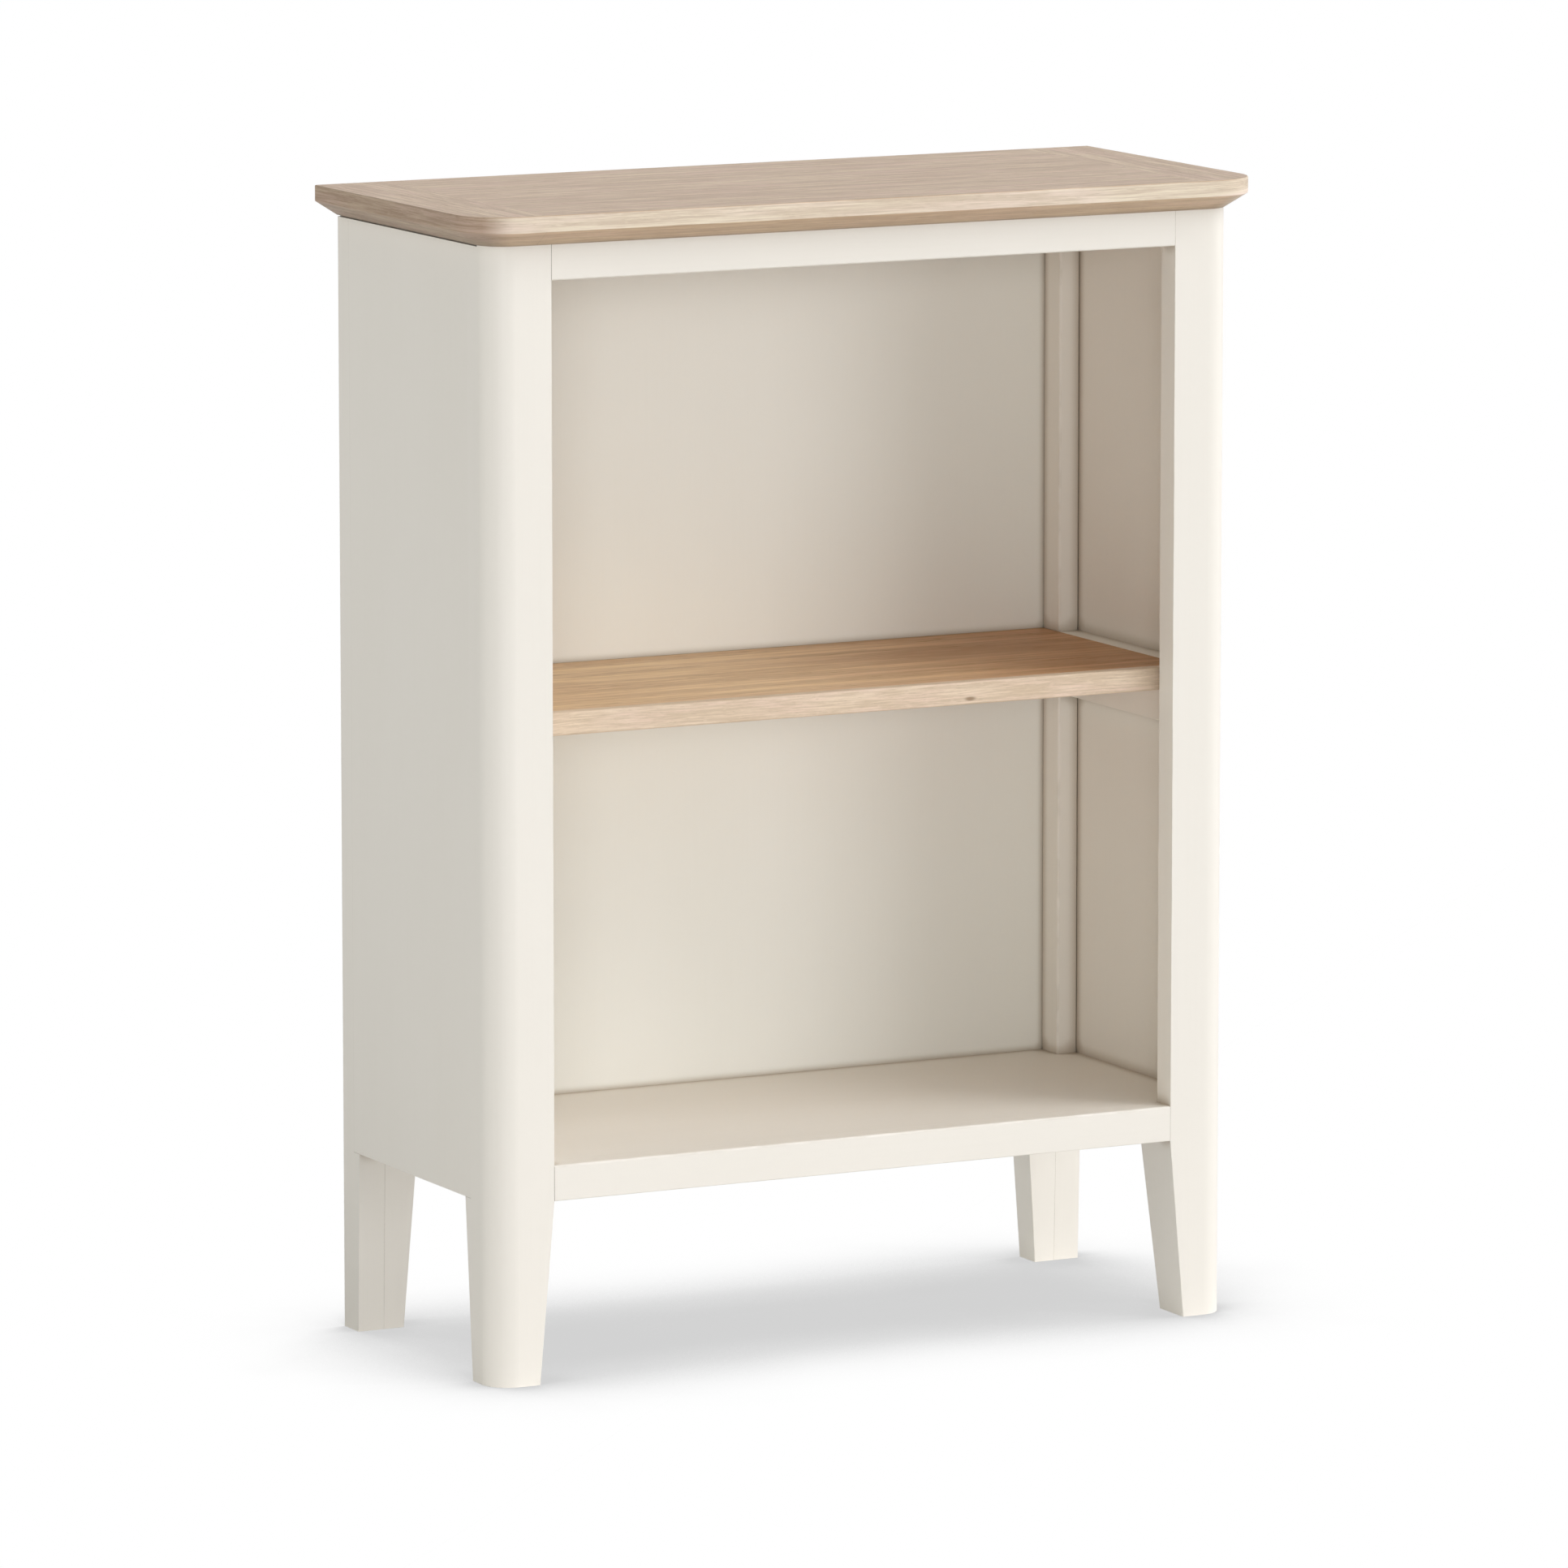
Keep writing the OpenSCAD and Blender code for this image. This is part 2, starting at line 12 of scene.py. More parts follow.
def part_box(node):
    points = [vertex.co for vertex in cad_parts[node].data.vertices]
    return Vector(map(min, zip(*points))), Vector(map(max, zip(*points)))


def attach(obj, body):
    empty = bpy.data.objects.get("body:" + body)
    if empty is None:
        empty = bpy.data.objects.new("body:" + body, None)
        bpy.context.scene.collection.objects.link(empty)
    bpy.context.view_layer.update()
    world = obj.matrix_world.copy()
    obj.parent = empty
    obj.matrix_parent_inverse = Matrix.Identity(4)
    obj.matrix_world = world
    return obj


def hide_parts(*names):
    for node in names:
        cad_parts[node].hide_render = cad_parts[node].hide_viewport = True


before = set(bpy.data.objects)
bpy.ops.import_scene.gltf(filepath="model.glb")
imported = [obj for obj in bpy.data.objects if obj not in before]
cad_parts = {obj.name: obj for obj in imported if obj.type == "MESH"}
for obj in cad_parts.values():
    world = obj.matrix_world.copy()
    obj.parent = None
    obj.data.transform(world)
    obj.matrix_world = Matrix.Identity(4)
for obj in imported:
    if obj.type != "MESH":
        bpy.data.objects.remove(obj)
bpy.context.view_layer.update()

bl_info = {
    "name": "Low bookcase",
    "version": (1, 0, 0),
    "blender": (4, 5, 0),
    "location": "3D View > Sidebar > Bookcase",
    "description": "Models and finishes the pieces of a low oak and painted bookcase",
    "category": "Object",
}

MM = 0.001
# Tolerance for telling which vertices lie on a plane
ON_PLANE = 0.02 * MM
# How far a cutter stands past the open faces of the piece it cuts
SPARE = 1 * MM
UP = (0, 0, 1)
# Cosine within which a face counts as looking along an axis
FACING = 0.95
LOOKS = {
    "+x": Vector((1, 0, 0)), "-x": Vector((-1, 0, 0)),
    "+y": Vector((0, 1, 0)), "-y": Vector((0, -1, 0)),
    "+z": Vector((0, 0, 1)), "-z": Vector((0, 0, -1)),
}
# Angle up to which neighbouring faces shade as one surface
SMOOTH_BELOW = math.radians(40)
# Steps of the two large roundings, and sides of a screw
TOP_CORNER_STEPS = 28
STILE_ROUND_STEPS = 24
SCREW_SIDES = 40
# Rays that measure how open a place is, in a corner and on the floor
CORNER_RAYS = 8
SHADOW_RAYS = 16
# Refraction of the clear lacquer on the oak and of the paint
LACQUER_IOR = 1.46
PAINT_IOR = 1.48
# Order of the axes with the one along the grain first
GRAIN_ORDER = {"x": (0, 1, 2), "y": (1, 0, 2), "z": (2, 0, 1)}
# Way of each board's grain, and the seed of its place in the log
BOARDS = {
    "top_panel": ("x", 3), "top_end_left": ("y", 10), "top_end_right": ("y", 12),
    "shelf_board": ("x", 7), "shelf_lipping": ("x", 13),
    "front_top_rail": ("x", 21), "front_bottom_rail": ("x", 22),
    "front_stile_left": ("z", 31), "front_stile_right": ("z", 32),
    "front_post_left": ("z", 41), "front_post_right": ("z", 42),
    "rear_post_left": ("z", 51), "rear_post_right": ("z", 52),
    "front_leg_block_left": ("z", 61), "front_leg_block_right": ("z", 62),
    "rear_leg_block_left": ("z", 71), "rear_leg_block_right": ("z", 72),
    "side_panel_left": ("z", 81), "side_panel_right": ("z", 82),
    "side_top_rail_left": ("y", 85), "side_top_rail_right": ("y", 86),
    "side_bottom_rail_left": ("y", 85), "side_bottom_rail_right": ("y", 86),
    "shelf_bearer_left": ("y", 89), "shelf_bearer_right": ("y", 90),
    "base_panel": ("x", 95), "back_panel": ("z", 96),
    "rear_top_rail": ("x", 97), "rear_bottom_rail": ("x", 98),
}
# How much closer the top's grain lies down its edges than across its face
EDGE_SQUEEZE = 1.8
# Distance that tells the heads of two screws apart, and the turn between their recesses
HEAD_SPACE = 10 * MM
RECESS_TURN = 0.61
# Width of a screw's shank against its head, and of its point against its shank
SHANK_SHARE = 0.5
POINT_SHARE = 0.12
# Lengths along, across and through the wood of the features in its figure, in metres
OAK_FEATURES = {
    "sway": (0.30, 0.07, 0.07), "uneven": (1.2, 0.03, 0.03), "broad": (0.17, 0.013, 0.013),
    "streak": (0.075, 0.0034, 0.0034), "fibre": (0.026, 0.0011, 0.0011), "patch": (0.10, 0.018, 0.018),
    "fleck": (0.012, 0.0016, 0.006), "dash": (0.0075, 0.0006, 0.0006), "heart": (0.16, 0.03, 0.03),
}
# The same for the paint, whose strokes follow the grain
PAINT_FEATURES = {
    "stroke": (0.12, 0.0016, 0.0016), "peel": (0.0022, 0.0018, 0.0018), "cloud": (0.30, 0.11, 0.11),
    "rub": (0.03, 0.008, 0.008),
}
# Turn to the right of the front, height and spread of each lamp in degrees
LAMPS = {
    "fill": (-27, 5, 14), "front": (0, 4, 24), "right": (27, 3, 27), "middle": (30, 28, 40),
    "high": (55, 42, 30), "side": (-97, 4, 50), "top": (0, 75, 60), "rim": (92, 6, 40),
}
LAMP_DISTANCE = 5
FLOOR_SIZE = 160
SENSOR_WIDTH = 36.0
VIEW_END = 200.0


def foot_box(node):
    """Lowest and highest corner of the part of a CAD node that stands on the floor."""
    feet = [v.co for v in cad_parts[node].data.vertices if v.co.z < ON_PLANE]
    low = Vector(min(co[i] for co in feet) for i in range(3))
    high = Vector(max(co[i] for co in feet) for i in range(3))
    return low, high


LEG_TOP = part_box("side_panel_right")[0].z
# Height inside the base panel where a post's leg turns into its upper part
LEG_SEAM = (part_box("base_panel")[0].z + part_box("base_panel")[1].z) / 2
TOP_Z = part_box("top_panel")[1].z
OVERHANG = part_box("top_end_right")[1].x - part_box("front_stile_right")[1].x
STILE_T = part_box("front_stile_right")[1].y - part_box("front_stile_right")[0].y


class Cut(NamedTuple):
    """How a board lies in its log, in wood coordinates that are first scaled."""

    pith: tuple
    ring: float
    figure: float
    scale: float = 1.0


TOP_CUT = Cut(pith=(0.0, 0.01, TOP_Z * EDGE_SQUEEZE - 0.1), ring=8 * MM, figure=0.14)
SHELF_CUT = Cut(pith=(0.0, 0.09, 0.16), ring=9.5 * MM, figure=0.34, scale=0.38)
LIPPING_CUT = Cut(pith=(0.0, 0.315, 0.0), ring=3.9 * MM, figure=0.22, scale=1.5)
DOWEL_CUT = Cut(pith=(0.0, 0.02, 0.4), ring=2.2 * MM, figure=0.3)


def length(name, description, value):
    """Length property in metres."""
    return FloatProperty(name=name, description=description, default=value, unit="LENGTH")


def strength(name, description, value):
    """Strength property of a lamp."""
    return FloatProperty(name=name, description=description, default=value, min=0)


def share(name, description, value):
    """Property between nothing and all."""
    return FloatProperty(name=name, description=description, default=value, min=0, max=1, subtype="FACTOR")


def angle(name, description, degrees):
    """Angle property, given in degrees."""
    return FloatProperty(
        name=name, description=description, default=math.radians(degrees), subtype="ANGLE")


def colour(name, description, value):
    """Colour property with three channels."""
    return FloatVectorProperty(
        name=name, description=description, default=value, subtype="COLOR", size=3, min=0, max=1)


def ratio(name, description, value):
    """Property for a tone against another colour, which may be paler than it."""
    return FloatVectorProperty(name=name, description=description, default=value, size=3, min=0)


class BookcaseSizes(bpy.types.PropertyGroup):
    """Roundings and profiles of the dressed pieces."""

    edge_h: length("Square edge", "Height of the top's square edge above its under-chamfer", 12.5 * MM)
    chamfer_rim: length("Chamfer rim", "Flat left between the chamfer's lower edge and the case", 0.5 * MM)
    top_arris: length("Top arris", "Rounding of the top's upper edge", 1.0 * MM)
    top_corner: length("Top corner", "Radius of the top's front corners in plan", STILE_T + OVERHANG)
    stile_round: length("Stile round", "Radius of the stiles' outer front corner", STILE_T - 0.1 * MM)
    rail_round: length("Rail round", "Rounding of the bottom rail's upper front edge", 2.0 * MM)
    lipping_round: length("Lipping round", "Rounding of the shelf lipping's front edges", 1.5 * MM)
    post_round: length("Post round", "Rounding of the posts' corners inside the case", 2.0 * MM)
    post_seam: length("Post seam", "Rounding of the rear posts against the panels", 1.2 * MM)
    gap_h: length("Shadow gap", "Height of the gap under the top along the sides", 1.2 * MM)
    gap_d: length("Shadow gap depth", "Depth of the gap under the top into the sides", 2.5 * MM)
    arris: length("Arris", "Rounding of the other edges that a hand can reach", 0.7 * MM)
    seam: length("Seam", "Rounding of edges that meet in a visible joint line", 0.22 * MM)
    hairline: length("Hairline", "Rounding of edges that meet flush under the paint", 0.1 * MM)
    screw_rim: length("Screw rim", "Height of the straight rim of a screw's head", 0.25 * MM)
    screw_head: length("Screw head", "Height of a screw's head, rim and cone", 2.5 * MM)
    screw_point: length("Screw point", "Length of a screw's point", 4.0 * MM)
    screw_arris: length("Screw arris", "Rounding of the rim of a screw's head", 0.12 * MM)
    recess_arm: length("Recess arm", "Reach of a screw's cross recess from its middle", 2.1 * MM)
    recess_slot: length("Recess slot", "Half the width of the recess's arms", 0.55 * MM)
    recess_d: length("Recess depth", "Depth of the recess's arms", 1.5 * MM)
    recess_core: length("Recess core", "Half the width of the recess's square middle", 0.88 * MM)
    recess_core_d: length("Recess core depth", "Depth of the recess's square middle", 1.2 * MM)


class BookcaseFinishes(bpy.types.PropertyGroup):
    """Colours of the wood, paint and metal, where they change, and the light and shade painted on them."""

    paint: colour("Paint", "Satin off-white paint of the case", (0.922, 0.880, 0.809))
    paint_shade: colour("Paint shade", "Tone of the paint where it lies thinner", (0.880, 0.838, 0.762))
    paint_worn: colour("Paint on edges", "Tone of the paint rubbed along the edges", (0.78, 0.735, 0.65))
    # Painted shade: tone of the shade painted into the paint's inside corners, and how far it reaches
    paint_dirt: colour("Paint in corners", "Shade of the paint in inside corners", (0.54, 0.475, 0.40))
    paint_reach: length("Paint corner reach", "Width of the shade in the paint's inside corners", 13 * MM)
    # Painted light: a paler, cooler copy of the paint for the back, lifting the shaded inside of the case
    back_paint: colour("Back paint", "Cooler paint of the back", (0.938, 0.924, 0.860))
    back_shade: colour("Back shade", "Tone of the back's paint where it lies thinner", (0.903, 0.889, 0.82))
    back_reach: length("Back corner reach", "Width of the shade in the back's corners", 7 * MM)
    # Painted shade: near-black tone painted deep in narrow gaps, such as the shadow gap under the top
    gap: colour("Gaps", "Tone deep in narrow gaps", (0.075, 0.06, 0.045))
    oak_late: colour("Oak late wood", "Pale bands of the top's grain", (0.734, 0.571, 0.404))
    oak_early: colour("Oak early wood", "Darker bands of the top's grain", (0.50, 0.347, 0.232))
    oak_blush: colour("Oak blush", "Pinker patches of the top", (0.732, 0.530, 0.408))
    oak_pore: colour("Oak pores", "Open pores in the top", (0.30, 0.19, 0.105))
    # Painted light and shade on the top's edges: the front edge and chamfer painted paler as lit, the sides
    # painted darker as shaded
    edge_front: ratio("Front edge tone", "Tone of the top's front edge against its face", (1.27, 1.45, 1.63))
    edge_under: ratio("Chamfer tone", "Tone of the top's front chamfer against its face", (1.11, 1.09, 1.04))
    edge_side: ratio("Side edge tone", "Tone of the top's side edges against its face", (0.73, 0.72, 0.715))
    # Painted shade: tone of the shade painted into the oak's inside corners, and how far it reaches
    oak_dirt: colour("Oak in corners", "Shade of the oak in inside corners", (0.55, 0.50, 0.46))
    oak_reach: length("Oak corner reach", "Width of the shade in the oak's inside corners", 6 * MM)
    shelf_late: colour("Shelf late wood", "Pale bands of the shelf's grain", (0.965, 0.701, 0.409))
    shelf_early: colour("Shelf early wood", "Darker bands of the shelf's grain", (0.70, 0.455, 0.235))
    shelf_blush: colour("Shelf blush", "Pinker patches of the shelf", (0.91, 0.635, 0.392))
    shelf_pore: colour("Shelf pores", "Open pores in the shelf", (0.30, 0.19, 0.105))
    # Darker towards the shelf's right end: partly heartwood, partly painted shade where the right stile and
    # side keep the light off the shelf
    heart: colour("Shelf heart", "Shade of the heartwood at the shelf's right", (0.685, 0.505, 0.365))
    heart_start: length("Heart start", "Place along the shelf where the heartwood sets in", 30 * MM)
    heart_end: length("Heart end", "Place along the shelf where the heartwood is full", 360 * MM)
    lipping_late: colour("Lipping late wood", "Pale bands of the lipping", (0.85, 0.685, 0.52))
    lipping_early: colour("Lipping early wood", "Darker bands of the lipping", (0.675, 0.52, 0.37))
    lipping_blush: colour("Lipping blush", "Pinker patches of the lipping", (0.84, 0.648, 0.515))
    lipping_pore: colour("Lipping pores", "Fine pores in the lipping", (0.48, 0.35, 0.24))
    knot: colour("Knot", "Pin knot in the lipping", (0.35, 0.235, 0.145))
    knot_x: length("Knot place", "Place of the knot along the lipping from its middle", 105.8 * MM)
    knot_z: length("Knot height", "Height of the knot above the lipping's lower edge", 4.6 * MM)
    beech_late: colour("Beech", "Pale wood of the dowels", (0.62, 0.43, 0.27))
    beech_early: colour("Beech fleck", "Darker wood of the dowels", (0.50, 0.32, 0.19))
    beech_blush: colour("Beech blush", "Patches of the dowels", (0.62, 0.43, 0.27))
    beech_pore: colour("Beech pores", "Fine pores in the dowels", (0.50, 0.32, 0.19))
    steel: colour("Zinc", "Zinc plating of the screws", (0.62, 0.61, 0.58))
    steel_dull: colour("Dull zinc", "Plating where it has dulled", (0.40, 0.39, 0.37))


class BookcaseStage(bpy.types.PropertyGroup):
    """Floor, lamps and camera."""

    shadow: share("Floor shadow", "Tone of the floor in the middle of the soft shadow", 0.645)
    shadow_core: share("Shadow core", "Openness of the floor up to which the shadow is full", 0.54)
    shadow_rim: share("Shadow rim", "Openness of the floor from which there is no shadow", 0.93)
    shadow_reach: length("Shadow reach", "Distance over which the case darkens the floor", 0.225)
    bounce: colour("Floor bounce", "Colour that the floor throws back on the bookcase", (0.92, 0.92, 0.92))
    sky: strength("Room light", "Strength of the even light from all round", 0.055)
    fill: strength("Fill light", "Strength of the lamp beside the camera", 0.64)
    front: strength("Front light", "Strength of the low lamp straight in front", 0.14)
    right: strength("Right light", "Strength of the low lamp in front, to the right", 0.71)
    middle: strength("Middle light", "Strength of the broad raised lamp in front, to the right", 0.283)
    high: strength("High light", "Strength of the high lamp at the right", 1.07)
    side: strength("Side light", "Strength of the low broad lamp at the left side", 1.25)
    side_tone: colour("Side tone", "Colour of the lamp at the left side", (0.99, 1.0, 0.955))
    top: strength("Top light", "Strength of the broad lamp overhead", 0.53)
    rim: strength("Rim light", "Strength of the low lamp at the right side", 1.2)
    lens: FloatProperty(
        name="Lens", description="Focal length of the camera in millimetres", default=251.2, min=20)
    eye: FloatVectorProperty(
        name="Camera place", description="Place of the camera",
        default=(-3.864, -7.5027, 1.7513), subtype="TRANSLATION", size=3)
    turn: angle("Camera turn", "Turn of the camera to the right", 27.204)
    tilt: angle("Camera tilt", "Tilt of the camera down from the horizon", 8.913)


# Modelling


def focus(piece):
    """Makes one piece the only selected object and the active one."""
    bpy.ops.object.select_all(action="DESELECT")
    piece.select_set(True)
    bpy.context.view_layer.objects.active = piece


def add_board(name, low, high):
    """Adds a board between two opposite corners, with its place in its mesh."""
    bpy.ops.object.select_all(action="DESELECT")
    bpy.ops.mesh.primitive_cube_add(size=1, location=(low + high) / 2, scale=high - low)
    piece = bpy.context.object
    piece.name = name
    piece.data.name = name
    bpy.ops.object.transform_apply(location=True, rotation=True, scale=True)
    return piece


def copy_node(name, node):
    """Adds a copy of a CAD node's mesh, merged and with its flat faces joined."""
    piece = bpy.data.objects.new(name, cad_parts[node].data.copy())
    piece.data.name = name
    bpy.context.scene.collection.objects.link(piece)
    with Bench(piece):
        bpy.ops.mesh.select_all(action="SELECT")
        bpy.ops.mesh.remove_doubles(threshold=0.005 * MM)
        bpy.ops.mesh.dissolve_limited(angle_limit=math.radians(0.4))
    return piece


def between(*pairs, least=5 * MM):
    """Test for edges between faces that look the two ways of a pair, such as -x-y."""
    looks = [(LOOKS[pair[:2]], LOOKS[pair[2:]]) for pair in pairs]

    def test(edge):
        if len(edge.link_faces) != 2 or edge.calc_length() < least:
            return False
        n, m = (face.normal for face in edge.link_faces)
        return any(min(n.dot(a), m.dot(b)) > FACING or min(m.dot(a), n.dot(b)) > FACING
                   for a, b in looks)

    return test


def at(**planes):
    """Test for vertices that lie on all of the given planes, such as z=0."""
    wanted = [("xyz".index(axis), place) for axis, place in planes.items()]
    return lambda vert: all(abs(vert.co[i] - place) < ON_PLANE for i, place in wanted)


def above(z):
    """Test for edges that lie wholly above a height."""
    return lambda edge: min(v.co.z for v in edge.verts) > z


def below(z):
    """Test for edges that lie wholly below a height."""
    return lambda edge: max(v.co.z for v in edge.verts) < z


def both(*tests):
    """Test that passes where all of the given ones pass."""
    return lambda part: all(test(part) for test in tests)


def either(*tests):
    """Test that passes where any of the given ones passes."""
    return lambda part: any(test(part) for test in tests)


# Test for the edges at height zero: those of a foot, or of the face of a screw's head
at_zero = below(ON_PLANE)


class Bench:
    """Edit mode on one piece, with the operators that shape it."""

    def __init__(self, piece):
        self.piece = piece

    def __enter__(self):
        focus(self.piece)
        bpy.ops.object.mode_set(mode="EDIT")
        return self

    def __exit__(self, *error):
        bpy.ops.object.mode_set(mode="OBJECT")

    def pick(self, kind, test):
        """Selects the vertices, edges or faces that pass a test, and nothing else."""
        bpy.ops.mesh.select_mode(type=kind)
        bpy.ops.mesh.select_all(action="DESELECT")
        mesh = bmesh.from_edit_mesh(self.piece.data)
        mesh.normal_update()
        parts = {"VERT": mesh.verts, "EDGE": mesh.edges, "FACE": mesh.faces}[kind]
        found = [part for part in parts if test(part)]
        if not found:
            raise RuntimeError(f"{self.piece.name}: nothing to shape among its parts of kind {kind}")
        for part in found:
            part.select_set(True)
        mesh.select_flush_mode()
        bmesh.update_edit_mesh(self.piece.data)

    def cut(self, height):
        """Cuts all faces at a height without parting the piece."""
        bpy.ops.mesh.select_all(action="SELECT")
        bpy.ops.mesh.bisect(plane_co=(0, 0, height), plane_no=UP)

    def shift(self, test, by):
        """Moves the vertices that pass a test."""
        self.pick("VERT", test)
        bpy.ops.transform.translate(value=by)

    def round(self, test, width, steps):
        """Rounds the edges that pass a test."""
        self.pick("EDGE", test)
        bpy.ops.mesh.bevel(offset=width, segments=steps, affect="EDGES", clamp_overlap=True)

    def ease(self, test, width, steps=2):
        """Rounds edges as sandpaper does, and marks the new faces for the wear of the finish."""
        self.round(test, width, steps)
        mesh = bmesh.from_edit_mesh(self.piece.data)
        layer = mesh.faces.layers.float.get("arris") or mesh.faces.layers.float.new("arris")
        for face in mesh.faces:
            if face.select:
                face[layer] = 1.0
        bmesh.update_edit_mesh(self.piece.data)


def carve(piece, low, high):
    """Cuts a box out of a piece."""
    cutter = add_board("cutter", low, high)
    focus(piece)
    modifier = piece.modifiers.new("Carve", "BOOLEAN")
    modifier.object = cutter
    modifier.operation = "DIFFERENCE"
    modifier.solver = "EXACT"
    bpy.ops.object.modifier_apply(modifier=modifier.name)
    focus(cutter)
    bpy.ops.object.delete()


def carve_shadow_gap(piece, node, sizes):
    """Cuts the narrow gap under the top out of the outer side of a piece."""
    low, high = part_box(node)
    if side_of(node) > 0:
        low.x, high.x = high.x - sizes.gap_d, high.x + SPARE
    else:
        low.x, high.x = low.x - SPARE, low.x + sizes.gap_d
    low.y -= SPARE
    high.y += SPARE
    low.z = high.z - sizes.gap_h
    high.z += SPARE
    carve(piece, low, high)


def grain_start(seed):
    """Place in the log that a board with this seed comes from."""
    return 0.613 * seed % 3, 0.171 * seed % 1, 0.0


def lay_grain(piece, node, squeeze=1.0):
    """Writes wood coordinates to the piece's corners, with the grain first, closer along the last."""
    along, seed = BOARDS[node]
    scales = (1.0, 1.0, squeeze)
    mesh = piece.data
    values = []
    for loop in mesh.loops:
        co = mesh.vertices[loop.vertex_index].co
        values.extend(co[axis] * scale + start for axis, scale, start in zip(
            GRAIN_ORDER[along], scales, grain_start(seed)))
    mesh.attributes.new("grain", "FLOAT_VECTOR", "CORNER").data.foreach_set("vector", values)


def complete(piece, node, material):
    """Shades a piece, gives it its finish and puts it in the place of its CAD node."""
    focus(piece)
    bpy.ops.object.shade_smooth_by_angle(angle=SMOOTH_BELOW)
    modifier = piece.modifiers.new("Flat faces", "WEIGHTED_NORMAL")
    modifier.keep_sharp = True
    bpy.ops.object.modifier_apply(modifier=modifier.name)
    piece.data.materials.clear()
    piece.data.materials.append(material)
    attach(piece, "root")
    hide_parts(node)


# Finishes


class Wiring:
    """Adds nodes to one shader tree and joins their sockets."""

    def __init__(self, tree):
        self.tree = tree

    def join(self, value, socket):
        self.tree.links.new(value, socket)

    def add(self, kind, inputs=(), **settings):
        node = self.tree.nodes.new(kind)
        for name, value in settings.items():
            setattr(node, name, value)
        for key, value in dict(inputs).items():
            if isinstance(value, bpy.types.NodeSocket):
                self.join(value, node.inputs[key])
            else:
                node.inputs[key].default_value = value
        return node

    def math(self, operation, first, second=0.0):
        return self.add("ShaderNodeMath", {0: first, 1: second}, operation=operation).outputs[0]

    def vector(self, operation, first, second):
        inputs = {0: first, 1: second}
        return self.add("ShaderNodeVectorMath", inputs, operation=operation).outputs[0]

    def length(self, vector):
        return self.add("ShaderNodeVectorMath", {0: vector}, operation="LENGTH").outputs["Value"]

    def noise(self, vector, lengths, detail=2.0, roughness=0.5, output="Fac"):
        """Noise whose features have the given lengths in metres along the three axes."""
        scaled = self.vector("MULTIPLY", vector, tuple(1 / length for length in lengths))
        inputs = {"Vector": scaled, "Scale": 1.0, "Detail": detail, "Roughness": roughness}
        return self.add("ShaderNodeTexNoise", inputs).outputs[output]

    def ramp(self, value, low, high, to_low=0.0, to_high=1.0):
        inputs = {0: value, 1: low, 2: high, 3: to_low, 4: to_high}
        return self.add("ShaderNodeMapRange", inputs, interpolation_type="SMOOTHSTEP").outputs[0]

    def mix(self, amount, first, second, blend="MIX"):
        """Mix of two colours, whose sockets stand behind the node's values and vectors."""
        inputs = {0: amount, 6: first, 7: second}
        return self.add("ShaderNodeMix", inputs, data_type="RGBA", blend_type=blend).outputs[2]

    def group(self, build, inputs):
        """Places the node group that is named after its function, building it the first time."""
        tree = bpy.data.node_groups.get(build.__name__) or build()
        return self.add("ShaderNodeGroup", inputs, node_tree=tree).outputs

    def openness(self, distance, rays):
        """How open each place is to its surroundings within a distance."""
        inputs = {"Distance": distance}
        return self.add("ShaderNodeAmbientOcclusion", inputs, samples=rays).outputs["AO"]

    def attribute(self, name, output):
        return self.add("ShaderNodeAttribute", attribute_name=name).outputs[output]

    def place(self):
        return self.add("ShaderNodeTexCoord").outputs["Object"]

    def place_along(self, axis):
        return self.add("ShaderNodeSeparateXYZ", {0: self.place()}).outputs[axis]


def opaque(rgb):
    """Colour with full alpha, as sockets want it."""
    return (*rgb, 1.0)


def new_group(name, inputs, outputs):
    """Starts a shader node group and returns its wiring, its inputs and its outputs."""
    kinds = {"vector": "NodeSocketVector", "colour": "NodeSocketColor", "value": "NodeSocketFloat"}
    tree = bpy.data.node_groups.new(name, "ShaderNodeTree")
    for label, kind in inputs.items():
        tree.interface.new_socket(name=label, in_out="INPUT", socket_type=kinds[kind])
    for label, kind in outputs.items():
        tree.interface.new_socket(name=label, in_out="OUTPUT", socket_type=kinds[kind])
    wiring = Wiring(tree)
    start = wiring.add("NodeGroupInput")
    end = wiring.add("NodeGroupOutput")
    return wiring, start.outputs, end.inputs


